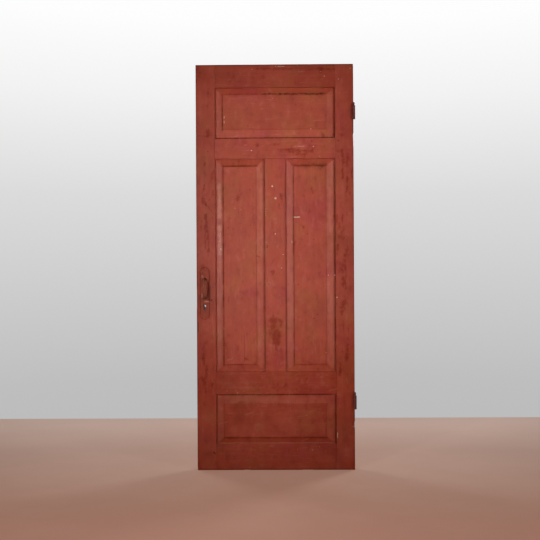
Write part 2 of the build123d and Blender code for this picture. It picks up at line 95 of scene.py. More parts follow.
def smear(x0, z0, x1, z1, half, strength, count, seed, hang=0.0):
    """A broken smear: many soft dabs along a line, some drawn out downwards. A negative width marks a soft one."""
    out = []
    for k in range(count):
        a, b, c, d, e = (float(_hash(np.array(float(k)), np.array(7.0 + q), seed)) for q in range(5))
        t = (k + a) / count
        x, z = x0 + t * (x1 - x0), z0 + t * (z1 - z0) + (b - 0.5) * half * 1.3
        size = half * (0.45 + 0.85 * c)
        out.append((x - size * 0.9, z, x + size * 0.9, z - hang * e * e, -size, strength * (0.55 + 0.6 * d)))
    return out


PALE = (
    dots([(111, 1236), (118, 1229), (124, 1221), (115, 1212), (121, 1203), (112, 1194), (119, 1186), (125, 1177), (116, 1163), (122, 1152), (113, 1141), (120, 1127), (117, 1108), (123, 1096), (114, 1408), (119, 1399), (121, 1372)], 2.3, 0.8) +
    dots([(287, 2036), (634, 2021), (584, 1733), (440, 1095), (432, 1027), (669, 990), (584, 101), (205, 392), (265, 15)], 3.0, 0.9)
    + dots([(386, 1442), (402, 1381)], 4.6, 1.3)
    + dots([(597, 1643), (283, 1624), (703, 988), (713, 876), (401, 1201), (654, 1999), (726, 1984), (784, 2038)], 3.4, 1.0)
    + dots([(367, 1969), (629, 1594), (715, 875), (657, 596), (595, 391), (484, 1283), (592, 1394), (776, 1302), (770, 1197)], 2.4, 0.8)
    + dots([(392, 1889), (196, 1331), (228, 1326), (225, 994), (500, 300), (557, 276), (653, 98), (354, 1158), (441, 1094), (620, 118), (330, 470)], 2.6, 0.8)
    + [(405, 2051, 450, 2050, 2.4, 0.75), (521, 2021, 546, 2022, 3.0, 0.55), (145, 1800, 144, 1788, 1.8, 0.9), (144, 1776, 144, 1764, 1.8, 0.9),
       (498, 1643, 548, 1644, 5.0, 0.48), (246, 1624, 280, 1625, 2.4, 0.50), (497, 1285, 525, 1285, 2.6, 1.0), (368, 635, 434, 640, 4.0, 0.40),
       (441, 262, 481, 263, 3.4, 0.45), (505, 33, 545, 34, 2.8, 0.45), (711.6, 188, 711.6, 162, 2.4, 1.1), (364, 123, 389, 123, 2.4, 0.62),
       (354, 1335, 354, 1290, 1.5, 0.7), (486, 1170, 486, 1150, 1.8, 0.7), (118, 1392, 119, 1368, 3.2, 0.55), (120, 1204, 120, 1160, -5.0, 0.55),
       (124, 1128, 124, 1118, 2.6, 0.7), (117, 1060, 118, 1040, 2.2, 0.5), (43, 858, 70, 851, 1.9, 0.85)]
)
# Most dark strokes are dirt and dark marks. Some are painted shadow: the line at z 380 along the lock rail's underside,
# the smears just above the fields' top edges at z 1913 and z 1550 (partly dirt), and the stroke down the left edge at z
# 880 to 1000, where the pull's shadow falls.
DARK = (
    dots([(622, 2041), (60, 1620), (588, 1669), (723, 1672), (67, 1375), (770, 1437), (440, 1393), (422, 1350), (564, 1200), (596, 1171)], 3.6, 0.75)
    + dots([(169, 1281), (163, 1232), (274, 1428), (379, 1009), (368, 945), (516, 942), (518, 777), (595, 769), (612, 790), (737, 600)], 3.4, 0.75)
    + [(379, 2036, 491, 2038, 9.0, 0.42), (2, 1701, 38, 1699, 2.6, 0.62), (38, 1699, 60, 1694, 3.4, 0.42), (417, 1629, 477, 1631, 5.0, 0.45),
       (52, 1352, 92, 1298, 2.4, 0.62), (46, 1353, 50, 1346, 5.0, 0.7), (745, 1545, 744, 1510, 6.0, 0.55),        (5, 752, 5, 706, 4.0, 0.72), (74, 862, 75, 868, 3.6, 0.8), (59, 871, 66, 868, 3.6, 0.8), (26, 1008, 27, 1004, 3.4, 0.8), (540, 661, 539, 549, 7.0, 0.34), (581, 650, 580, 559, 5.0, 0.38), (621, 635, 620, 549, 6.0, 0.36),
       (651, 610, 651, 549, 5.0, 0.34), (242, 686, 241, 554, 2.6, 0.62), (758, 1032, 757, 915, 4.0, 0.42), (745, 762, 744, 691, 4.5, 0.42),
       (82, 91, 89, 84, 3.0, 1.15), (30, 1030, 30, 790, 26.0, 0.44), (8, 1000, 8, 880, 9.0, 0.36), (104, 1688, 696, 1689, 3.4, 1.0), (110, 380, 690, 380, 2.4, 0.8),  
       (230, 2046, 560, 2050, 6.0, 0.30), (560, 2044, 640, 2040, 9.0, 0.45), (797, 1712, 797, 1772, -3.4, 0.75), (797, 248, 797, 306, -3.6, 0.75),
       (7, 872, 8, 788, -9.0, 0.46), (50, 742, 52, 640, -34.0, 0.15), (510, 2041, 700, 2036, -9.0, 0.36), (30, 1960, 34, 2040, -40.0, 0.20)]
    + smear(146, 1913, 330, 1913, 3.0, 0.50, 26, 811) + smear(330, 1913, 655, 1912, 4.4, 0.80, 60, 812, hang=3.0) + smear(470, 1910, 650, 1909, 4.6, 0.62, 22, 813, hang=5.0)
    + smear(492, 1550, 560, 1549, 6.5, 0.42, 14, 814, hang=16.0) + smear(556, 1552, 664, 1551, 9.5, 0.52, 30, 815, hang=14.0)
    + smear(520, 1540, 655, 1538, 9.0, 0.34, 22, 816, hang=18.0) + smear(118, 382, 690, 382, 3.0, 0.5, 30, 817)
    + [(428, 1404, 434, 1382, -7.5, 0.55), (418, 1352, 424, 1330, -8.5, 0.45), (393, 1204, 403, 1204, -6.0, 0.55), (306, 1089, 320, 1081, -5.0, 0.60),
       (160, 1275, 170, 1258, -14.0, 0.28), (154, 1045, 158, 1020, -9.0, 0.32), (150, 955, 152, 940, -8.0, 0.30), (216, 905, 236, 904, -4.0, 0.42), (300, 760, 304, 752, -4.0, 0.4)]
)
BLOT = [
    (560, 2030, 700, 2034, -9.0, 0.5), (310, 2040, 480, 2036, -7.0, 0.45),
    (47, 1300, 58, 1180, 10.0, 0.75), (62, 1180, 60, 1085, 8.0, 0.6), (44, 1240, 46, 1130, 9.0, 0.6), (396, 760, 404, 655, 38.0, 0.75), (390, 1010, 396, 930, 20.0, 0.4),
    (30, 620, 34, 548, 12.0, 0.6), (40, 440, 42, 392, 16.0, 0.5), (741, 1622, 744, 1590, 8.0, 0.8), (742, 1520, 743, 1482, 9.0, 0.8), (768, 1490, 766, 1424, 8.0, 0.6),
    (712, 1290, 738, 1180, 20.0, 0.6), (752, 1064, 756, 1022, 12.0, 0.5), (748, 970, 752, 905, 14.0, 0.6), (762, 634, 764, 560, 16.0, 0.5), (560, 1010, 600, 960, 26.0, 0.35),
    (480, 1620, 560, 1600, 16.0, 0.55), (300, 1650, 420, 1655, 10.0, 0.4), (540, 1655, 640, 1640, 13.0, 0.4), (430, 1420, 436, 1330, 16.0, 0.45), (380, 1300, 384, 1230, 12.0, 0.4),
    (250, 560, 300, 545, 16.0, 0.4), (260, 430, 640, 425, 24.0, 0.3), (200, 2000, 300, 1990, 22.0, 0.3), (640, 1700, 700, 1690, 18.0, 0.35), (60, 1960, 62, 1760, 20.0, 0.25),
] + smear(430, 1629, 600, 1620, 8.0, 0.72, 20, 901, hang=10.0) + smear(500, 1640, 620, 1636, 9.0, 0.45, 12, 902, hang=6.0)
RUB = [
    (117, 1450, 118, 1290, 12.0, 1.0), (118, 1240, 119, 1100, 12.0, 1.0), (119, 1090, 119, 980, 10.0, 0.5), (330, 1500, 331, 1180, 9.0, 0.45), (678, 1430, 679, 1210, 7.0, 0.5),
    (80, 785, 84, 690, 4.0, 0.6), (27, 992, 27, 960, 6.5, 0.6),
    (29, 896, 29, 878, 6.5, 0.8), (775, 870, 775, 800, 3.0, 0.5), (350, 640, 450, 620, 16.0, 0.35), (420, 420, 640, 430, 26.0, 0.22),
    (110, 440, 330, 450, 30.0, 0.2), (150, 1640, 330, 1630, 24.0, 0.22), (210, 356, 400, 358, 11.0, 0.42), (470, 300, 640, 292, 12.0, 0.30),
    # The stroke at z 134 along the bottom rail's top arris is a painted highlight, lightening the shadowed line of the
    # gap there.
    (60, 13, 740, 14, -13.0, 0.36), (105, 134, 700, 134, -3.2, 0.62), (498, 1643, 560, 1645, 7.0, 0.5), (450, 300, 560, 285, 14.0, 0.22), (620, 330, 700, 240, 9.0, 0.25), (560, 560, 600, 545, 8.0, 0.3),
]


# crackled, darker patches of the stiles, thickest at hand height and above
for _k in range(46):
    _a, _b, _c, _d, _e = (float(_hash(np.array(float(_k)), np.array(31.0 + q), 717)) for q in range(5))
    _x = (8 + 84 * _a) if _k % 2 else (712 + 80 * _a)
    _z = 380 + 1330 * _b
    if _x < 100 and 790 < _z < 1075:
        continue
    BLOT.append((_x, _z, _x + 12 * (_d - 0.5), _z + 6 + 60 * _c, -(4.0 + 15.0 * _e ** 1.5), 0.32 + 0.36 * _d))
for _k in range(26):
    _a, _b, _c, _d, _e = (float(_hash(np.array(float(_k)), np.array(51.0 + q), 727)) for q in range(5))
    BLOT.append((110 + 580 * _a, 420 + 1500 * _b, 110 + 580 * _a + 16 * (_c - 0.5), 420 + 1500 * _b + 30 * _d, -(4 + 8 * _e), 0.3 + 0.4 * _c))
# the many fine scuffs low down and across the rails
for _k in range(120):
    _a, _b, _c, _d, _e = (float(_hash(np.array(float(_k)), np.array(3.0 + q), 606)) for q in range(5))
    _low = _k < 84
    _x, _z = 20 + 760 * _a, (25 + 560 * _b ** 1.2) if _low else (1560 + 480 * _b)
    _long, _tilt = 8 + 46 * _c ** 2, (_d - 0.5) * 0.7 + (1.57 if (_x < 95 or _x > 705) and _e > 0.35 else 0.0)
    RUB.append((_x, _z, _x + _long * math.cos(_tilt), _z + _long * math.sin(_tilt), 1.5 + 1.9 * _e, 0.34 + 0.34 * _d))


def darker(x, z, base):
    """How much darker the paint is made: more at the outer edges and at the foot. The darkening at the foot is partly
    dirt and partly painted shade, where the light falls off towards the floor.
    """
    side = np.abs(x - 400.0) / 400.0
    return base + 0.16 * side ** 2.2 + 0.145 * np.exp(-z / 150.0) + 0.07 * np.exp(-(z / 640.0) ** 4) + 0.07 * fbm(x / 150.0, z / 150.0, 4242, 2) + 0.05 * fbm(x / 44.0, z / 60.0, 4343, 3)


def field(x, z, strokes):
    """How strongly these strokes cover each point."""
    total = np.zeros_like(x)
    for k, (x0, z0, x1, z1, half, strength) in enumerate(strokes):
        dx, dz = x1 - x0, z1 - z0
        length = dx * dx + dz * dz
        t = np.clip(((x - x0) * dx + (z - z0) * dz) / length, 0, 1) if length else 0.0
        d = np.hypot(x - x0 - t * dx, z - z0 - t * dz)
        soft = half < 0 or half > 5 or length > 3600
        half = abs(half)
        near = d < 3.2 * half + 2.0
        if not near.any():
            continue
        xn, zn = x[near], z[near]
        wide = half * (1.0 + 0.40 * noise(xn / (half * 1.7 + 4) + k, zn / (half * 1.7 + 4), 77 + k))
        if soft:                           # a smear fades out and breaks up, where a chip has an edge
            cover = np.exp(-(d[near] / np.maximum(wide, 0.5)) ** 2) * (1.0 + 0.35 * fbm(xn / (half * 0.8), zn / (half * 0.8), 99 + k, 2))
        else:
            cover = np.clip(1.35 - 0.85 * d[near] / np.maximum(wide, 0.5), 0, 1)
        total[near] = np.maximum(total[near], strength * np.clip(cover, 0, 1))
    return total


# ------------------------------------------------------------------ mesh helpers
def make(name, verts, faces, material, values=None, smooth=True, body=BODY, node=None):
    mesh = bpy.data.meshes.new(name)
    mesh.from_pydata([tuple(v) for v in verts], [], faces)
    mesh.validate()
    mesh.polygons.foreach_set("use_smooth", np.full(len(mesh.polygons), smooth))
    for key, data in (values or {}).items():
        made = mesh.attributes.new(key, "FLOAT", "POINT")
        made.data.foreach_set("value", np.asarray(data, np.float32))
    mesh.update()
    ob = bpy.data.objects.new(name, mesh)
    bpy.context.scene.collection.objects.link(ob)
    ob.data.materials.append(material)
    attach(ob, body)
    if node:
        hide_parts(*(node if isinstance(node, (list, tuple)) else [node]))
    return ob


def spaced(a, b, pitch, edge=None):
    """Evenly spaced points from a to b, about this pitch apart."""
    n = max(2, int(round((b - a) / pitch)))
    return np.linspace(a, b, n + 1)


# ------------------------------------------------------------------ materials
def ramp(nt, source, stops, interpolation="LINEAR"):
    node = nt.nodes.new("ShaderNodeValToRGB")
    node.color_ramp.interpolation = interpolation
    while len(node.color_ramp.elements) < len(stops):
        node.color_ramp.elements.new(0.5)
    for element, (at, colour) in zip(node.color_ramp.elements, stops):
        element.position = at
        element.color = (*colour, 1.0) if isinstance(colour, (tuple, list)) else (colour, colour, colour, 1.0)
    nt.links.new(source, node.inputs["Fac"])
    return node.outputs["Color"]


class Tree:
    """Short words for a material's nodes."""

    def __init__(self, name):
        self.mat = bpy.data.materials.new(name)
        self.mat.use_nodes = True
        self.nt = self.mat.node_tree
        self.bsdf = self.nt.nodes["Principled BSDF"]
        coords = self.nt.nodes.new("ShaderNodeTexCoord")
        self.place = coords.outputs["Object"]

    def put(self, socket, value):
        if isinstance(value, bpy.types.NodeSocket):
            self.nt.links.new(value, socket)
        else:
            socket.default_value = value

    def scaled(self, sx, sy, sz, source=None, shift=(0, 0, 0)):
        node = self.nt.nodes.new("ShaderNodeMapping")
        self.nt.links.new(source or self.place, node.inputs["Vector"])
        node.inputs["Scale"].default_value = (sx, sy, sz)
        node.inputs["Location"].default_value = shift
        return node.outputs["Vector"]

    def noise(self, vector, scale=1.0, detail=4.0, rough=0.55, distortion=0.0, output="Fac"):
        node = self.nt.nodes.new("ShaderNodeTexNoise")
        self.nt.links.new(vector, node.inputs["Vector"])
        node.inputs["Scale"].default_value = scale
        node.inputs["Detail"].default_value = detail
        node.inputs["Roughness"].default_value = rough
        node.inputs["Distortion"].default_value = distortion
        return node.outputs[output]

    def voronoi(self, vector, scale=1.0, feature="F1", output="Distance"):
        node = self.nt.nodes.new("ShaderNodeTexVoronoi")
        node.feature = feature
        self.nt.links.new(vector, node.inputs["Vector"])
        node.inputs["Scale"].default_value = scale
        return node.outputs[output]

    def math(self, operation, a, b=None, c=None, clamp=False):
        node = self.nt.nodes.new("ShaderNodeMath")
        node.operation = operation
        node.use_clamp = clamp
        for socket, value in zip(node.inputs, (a, b, c)):
            if value is not None:
                self.put(socket, value)
        return node.outputs[0]

    def spread(self, value, low, high, to_low=0.0, to_high=1.0, smooth=True):
        node = self.nt.nodes.new("ShaderNodeMapRange")
        node.interpolation_type = "SMOOTHSTEP" if smooth else "LINEAR"
        node.clamp = True
        self.put(node.inputs["Value"], value)
        for key, number in (("From Min", low), ("From Max", high), ("To Min", to_low), ("To Max", to_high)):
            node.inputs[key].default_value = number
        return node.outputs["Result"]

    def mix(self, factor, a, b, blend="MIX"):
        node = self.nt.nodes.new("ShaderNodeMix")
        node.data_type = "RGBA"
        node.blend_type = blend
        self.put(node.inputs[0], factor)
        self.put(node.inputs[6], (*a, 1.0) if isinstance(a, tuple) else a)
        self.put(node.inputs[7], (*b, 1.0) if isinstance(b, tuple) else b)
        return node.outputs[2]

    def attribute(self, name):
        node = self.nt.nodes.new("ShaderNodeAttribute")
        node.attribute_name = name
        return node.outputs["Fac"]

    def bump(self, height, strength, distance, normal=None):
        node = self.nt.nodes.new("ShaderNodeBump")
        node.inputs["Strength"].default_value = strength
        node.inputs["Distance"].default_value = distance
        self.nt.links.new(height, node.inputs["Height"])
        if normal is not None:
            self.nt.links.new(normal, node.inputs["Normal"])
        return node.outputs["Normal"]


RED = (0.425, 0.066, 0.032)            # the sound paint
RED_WARM = (0.405, 0.079, 0.029)       # where it has gone browner
RED_COOL = (0.400, 0.051, 0.036)       # where it has kept its crimson
RED_DEEP = (0.225, 0.026, 0.017)
RED_PINK = (0.54, 0.165, 0.110)
GRIME_AND_SHADE = (0.062, 0.026, 0.016)
CREAM_RED = (0.50, 0.215, 0.110)
SOOT_AND_SHADOW = (0.150, 0.022, 0.008)
RED_DARK = (0.235, 0.024, 0.009)        # old paint soaked dark; also the pull's shadow painted on the stile
CREAM = (0.66, 0.46, 0.36)
PRIMER = (0.50, 0.21, 0.15)
KEYS = ("pale", "dark", "rub", "edge", "soot_and_shadow", "blot", "shade", "painted_sheen")


def paint(name, grain, fleck=1.0, grimy=0.0, marks=(), shine=1.0):
    """Old brick-red oil paint on wood whose grain runs along x or z. The listed wear, with the painted shadow, shade
    and sheen, comes in as attributes.
    """
    t = Tree(name)
    along = (1.0, 1.0, 0.10) if grain == "z" else (0.10, 1.0, 1.0)
    cloud = t.noise(t.place, 4.2, 4.0, 0.55)
    hue = t.noise(t.scaled(1, 1, 1, shift=(4.1, 2.0, 8.3)), 6.5, 3.0, 0.55)
    mottle = t.noise(t.scaled(1, 1, 0.7, shift=(1.7, 0.3, 2.9)), 34.0, 4.0, 0.6)
    streak = t.noise(t.scaled(*along), 120.0, 3.0, 0.55)
    fine = t.noise(t.scaled(*along, shift=(0.7, 0.2, 0.4)), 480.0, 3.0, 0.6)
    jag = t.math("SUBTRACT", t.noise(t.place, 330.0, 4.0, 0.65), 0.5)
    crack = t.voronoi(t.scaled(1, 1, 0.62), 88.0, "DISTANCE_TO_EDGE")

    base = t.mix(t.spread(hue, 0.50, 0.66), RED, RED_WARM)
    base = t.mix(t.spread(hue, 0.46, 0.32), base, RED_COOL)
    base = t.mix(t.spread(cloud, 0.46, 0.72, 0.0, 0.32), base, RED_DEEP)
    base = t.mix(t.spread(mottle, 0.52, 0.72, 0.0, 0.40), base, RED_DEEP)
    base = t.mix(t.spread(mottle, 0.45, 0.28, 0.0, 0.24), base, RED_PINK)
    brush = t.noise(t.scaled(*along, shift=(0.2, 0.9, 0.6)), 58.0, 4.0, 0.6)
    base = t.mix(t.spread(brush, 0.54, 0.74, 0.0, 0.22), base, RED_PINK)
    base = t.mix(t.spread(brush, 0.44, 0.26, 0.0, 0.24), base, RED_DEEP)
    base = t.mix(t.spread(streak, 0.50, 0.78, 0.0, 0.13), base, RED_PINK)
    base = t.mix(t.spread(fine, 0.40, 0.70, 0.0, 0.12), base, RED_DEEP)

    # dust is a painted sheen on the bevels, standing in for the lamps' reflection in the gloss
    base = t.mix(t.math("MULTIPLY", t.attribute("painted_sheen"), t.spread(mottle, 0.25, 0.70, 1.25, 0.80)), base, RED_PINK)
    # listed wear; some of the dark strokes are painted shadow
    rub = t.math("ADD", t.attribute("rub"), t.math("MULTIPLY", jag, 0.9))
    base = t.mix(t.math("MULTIPLY", t.spread(rub, 0.10, 1.05, 0.0, 0.80), t.spread(t.attribute("rub"), 0.02, 0.2)), base, RED_PINK)
    blot = t.math("ADD", t.attribute("blot"), t.math("MULTIPLY", t.math("SUBTRACT", mottle, 0.5), 1.5))
    blot = t.math("ADD", blot, t.math("MULTIPLY", jag, 0.5))
    lines = t.spread(crack, 0.09, 0.02, 0.0, 1.0)
    blotted = t.math("MULTIPLY", t.spread(blot, 0.22, 0.80), t.math("ADD", 0.60, t.math("MULTIPLY", lines, 0.25)))
    base = t.mix(blotted, base, RED_DARK)
    edge = t.math("ADD", t.attribute("edge"), t.math("MULTIPLY", jag, 1.4))
    base = t.mix(t.spread(edge, 0.66, 0.86, 0.0, 0.60), base, PRIMER)
    dark = t.math("ADD", t.attribute("dark"), t.math("MULTIPLY", jag, 0.9))
    dark = t.math("MULTIPLY", dark, t.spread(t.attribute("dark"), 0.02, 0.15))
    base = t.mix(t.spread(dark, 0.15, 0.95, 0.0, 0.92), base, GRIME_AND_SHADE)
    # dirt gathered in the corners, and painted shadow along the panels' gaps and the fields' edges
    soot_and_shadow = t.math("ADD", t.attribute("soot_and_shadow"), t.math("MULTIPLY", jag, 0.28))
    soot_and_shadow = t.math("MULTIPLY", soot_and_shadow, t.spread(t.attribute("soot_and_shadow"), 0.02, 0.12))
    base = t.mix(t.spread(soot_and_shadow, 0.08, 0.95, 0.0, 0.92), base, SOOT_AND_SHADOW)
    # scattered small chips and dark flecks
    speck = t.noise(t.place, 160.0, 3.0, 0.7)
    chips = t.spread(t.math("ADD", t.voronoi(t.scaled(1.0, 1.0, 1.0, shift=(1.3, 0.4, 0.2)), 30.0), t.math("MULTIPLY", speck, 0.10)), 0.100, 0.082)
    chips = t.math("MULTIPLY", chips, t.spread(t.noise(t.scaled(1, 1, 1, shift=(7, 3, 1)), 8.0, 2.0), 0.55, 0.62, 0.0, 0.62 * fleck))
    base = t.mix(chips, base, CREAM)
    flecks = t.spread(t.math("ADD", t.voronoi(t.scaled(1.0, 1.0, 0.6, shift=(5.3, 1.4, 7.2)), 24.0), t.math("MULTIPLY", speck, 0.12)), 0.135, 0.095)
    base = t.mix(t.math("MULTIPLY", flecks, t.spread(t.noise(t.scaled(1, 1, 1, shift=(9, 2, 4)), 7.0, 2.0), 0.48, 0.60, 0.0, 0.62 * fleck)), base, GRIME_AND_SHADE)
    pale = t.math("ADD", t.attribute("pale"), t.math("MULTIPLY", jag, 1.1))
    pale_mask = t.math("MULTIPLY", t.spread(pale, 0.42, 0.66), t.spread(t.attribute("pale"), 0.05, 0.25))
    base = t.mix(t.math("MULTIPLY", pale_mask, 0.85), base, CREAM)
    if grimy:
        base = t.mix(t.spread(mottle, 0.3, 0.7, grimy * 0.80, grimy * 1.15), base, (0.118, 0.019, 0.008))
    if marks:
        here = t.nt.nodes.new("ShaderNodeSeparateXYZ")
        t.nt.links.new(t.place, here.inputs[0])
    for x, z, rx, rz, amount, colour in marks:
        x, z = x / 1000.0 - 0.8, z / 1000.0 - 0.309
        dx = t.math("DIVIDE", t.math("SUBTRACT", here.outputs["X"], x), rx / 1000.0)
        dz = t.math("DIVIDE", t.math("SUBTRACT", here.outputs["Z"], z), rz / 1000.0)
        reach = t.math("ADD", t.math("MULTIPLY", dx, dx), t.math("MULTIPLY", dz, dz))
        reach = t.math("ADD", reach, t.math("MULTIPLY", jag, 2.4))
        base = t.mix(t.spread(reach, 1.25, 0.45, 0.0, amount), base, colour)
    # where the paint is made darker, painted shade included, it is made redder too
    tint = t.nt.nodes.new("ShaderNodeCombineColor")
    for k, share in enumerate((1.0, 1.65, 2.25)):
        t.nt.links.new(t.math("SUBTRACT", 1.0, t.math("MULTIPLY", t.attribute("shade"), share)), tint.inputs[k])
    base = t.mix(1.0, base, tint.outputs[0], "MULTIPLY")
    t.put(t.bsdf.inputs["Base Color"], base)

    rough = t.spread(t.noise(t.place, 30.0, 4.0, 0.6), 0.3, 0.75, 0.38, 0.50)
    rough = t.math("ADD", rough, t.math("MULTIPLY", pale_mask, 0.22))
    rough = t.math("ADD", rough, t.spread(dark, 0.3, 0.9, 0.0, 0.18))
    rough = t.math("ADD", rough, t.math("MULTIPLY", t.attribute("soot_and_shadow"), 0.2), clamp=True)
    t.put(t.bsdf.inputs["Roughness"], rough)
    place = t.nt.nodes.new("ShaderNodeSeparateXYZ")
    t.nt.links.new(t.place, place.inputs[0])
    dull = t.math("ADD", t.math("MULTIPLY", t.attribute("soot_and_shadow"), 0.9), t.math("MULTIPLY", t.attribute("dark"), 0.7))
    dull = t.math("ADD", dull, t.math("MULTIPLY", blotted, 0.6), clamp=True)
    dull = t.math("MULTIPLY", t.math("SUBTRACT", 1.0, dull), t.math("ADD", t.spread(place.outputs["Z"], 0.10, 0.60, 0.145 * shine, 0.26 * shine), t.spread(place.outputs["Z"], 0.05, -0.20, 0.0, 0.085)))
    t.put(t.bsdf.inputs["Specular IOR Level"], dull)

    height = t.math("ADD", t.math("MULTIPLY", streak, 0.45), t.math("MULTIPLY", fine, 0.22))
    height = t.math("ADD", height, t.math("MULTIPLY", t.noise(t.place, 70.0, 3.0, 0.5), 0.55))
    height = t.math("SUBTRACT", height, t.math("MULTIPLY", pale_mask, 0.7))
    height = t.math("SUBTRACT", height, t.math("MULTIPLY", chips, 0.5))
    height = t.math("SUBTRACT", height, t.math("MULTIPLY", t.math("MULTIPLY", lines, t.attribute("blot")), 0.5))
    t.put(t.bsdf.inputs["Normal"], t.bump(height, 0.42, 0.0006))
    return t.mat


def iron(name, dark, light, rust, coat=0.0, metallic=0.55, gloss=(0.42, 0.60), feet=None, sheen=0.5):
    """Old wrought iron, under whatever share of the red paint it still carries."""
    t = Tree(name)
    big = t.noise(t.place, 45.0, 4.0, 0.6)
    mid = t.noise(t.scaled(1, 1, 1, shift=(3, 1, 7)), 130.0, 4.0, 0.6)
    small = t.noise(t.scaled(1, 1, 1, shift=(2, 5, 1)), 520.0, 4.0, 0.65)
    shown = t.mix(t.spread(mid, 0.36, 0.66), dark, light)
    shown = t.mix(t.spread(big, 0.52, 0.70, 0.0, 0.75), shown, rust)
    shown = t.mix(t.spread(small, 0.58, 0.76, 0.0, 0.5), shown, dark)
    height = t.math("ADD", t.math("MULTIPLY", small, 0.35), t.math("MULTIPLY", mid, 0.8))
    if coat > 0:
        left = t.math("ADD", t.math("MULTIPLY", big, 0.8), t.math("MULTIPLY", mid, 0.5))
        mask = t.spread(left, 0.66 + 0.25 * (coat - 0.5), 0.62 + 0.25 * (coat - 0.5))
        shown = t.mix(mask, shown, t.mix(t.spread(small, 0.3, 0.7), RED_COOL, RED_DEEP))
        t.put(t.bsdf.inputs["Metallic"], t.math("MULTIPLY", t.math("SUBTRACT", 1.0, mask), metallic))
        height = t.math("ADD", height, t.math("MULTIPLY", mask, 0.4))
    else:
        t.bsdf.inputs["Metallic"].default_value = metallic
    if feet:                               # darker towards the plate: dirt where the hand does not reach, and painted shade round the feet
        out = t.nt.nodes.new("ShaderNodeSeparateXYZ")
        t.nt.links.new(t.place, out.inputs[0])
        shown = t.mix(t.spread(out.outputs["Y"], -0.024, -0.008), shown, feet)
    t.put(t.bsdf.inputs["Base Color"], shown)
    t.bsdf.inputs["Specular IOR Level"].default_value = sheen
    t.put(t.bsdf.inputs["Roughness"], t.spread(small, 0.3, 0.7, *gloss))
    t.put(t.bsdf.inputs["Normal"], t.bump(height, 0.5, 0.0006))
    return t.mat


# PAINT_Z's first mark darkens the keyhole's bore, painted shade inside the hole; its second is the pull's shadow
# painted on the stile.
PAINT_Z = paint("paint_upright", "z", marks=((42, 830, 9, 22, 1.0, GRIME_AND_SHADE), (69, 905, 6, 42, 0.80, RED_DARK)))
PAINT_X = paint("paint_across", "x")
# Of the plate's marks, the dark ones at (35.5, 836) and (42, 822) are painted shade in the keyhole and its slot, and
# the long one at (61, 908) is the pull's shadow painted onto the plate; the others are rubs, a chip and dirt.
PAINT_PLATE = paint("paint_on_iron", "z", shine=0.5, fleck=1.4, grimy=0.50, marks=(
    (29, 985, 6, 8, 0.32, RED_PINK), (27, 888, 5, 12, 0.34, RED_PINK), (51, 858, 13, 4.5, 0.55, CREAM_RED), (59, 868, 4, 5, 0.7, GRIME_AND_SHADE),
    (35.5, 836, 4.6, 11, 0.85, GRIME_AND_SHADE), (42, 822, 6, 8, 0.7, GRIME_AND_SHADE), (31, 1000, 3, 8, 0.5, GRIME_AND_SHADE), (61, 908, 7, 46, 0.80, SOOT_AND_SHADOW)))
PAINT_REAR = paint("paint_on_rear_iron", "z", fleck=1.0, grimy=0.30)
IRON_HINGE = iron("iron_hinge", (0.105, 0.016, 0.011), (0.165, 0.029, 0.020), (0.190, 0.045, 0.028), metallic=0.0, gloss=(0.50, 0.66), sheen=0.25)
IRON_BARE = iron("iron_pull", (0.195, 0.054, 0.027), (0.320, 0.105, 0.055), (0.245, 0.068, 0.030), metallic=0.0, gloss=(0.50, 0.66), feet=(0.120, 0.022, 0.007), sheen=0.08)
IRON_LOCK = iron("iron_lock", (0.045, 0.035, 0.029), (0.120, 0.098, 0.080), (0.130, 0.062, 0.032), metallic=0.45, gloss=(0.40, 0.58))
STEEL = iron("steel_worn", (0.150, 0.140, 0.128), (0.360, 0.345, 0.320), (0.200, 0.120, 0.075), metallic=0.95, gloss=(0.26, 0.42))


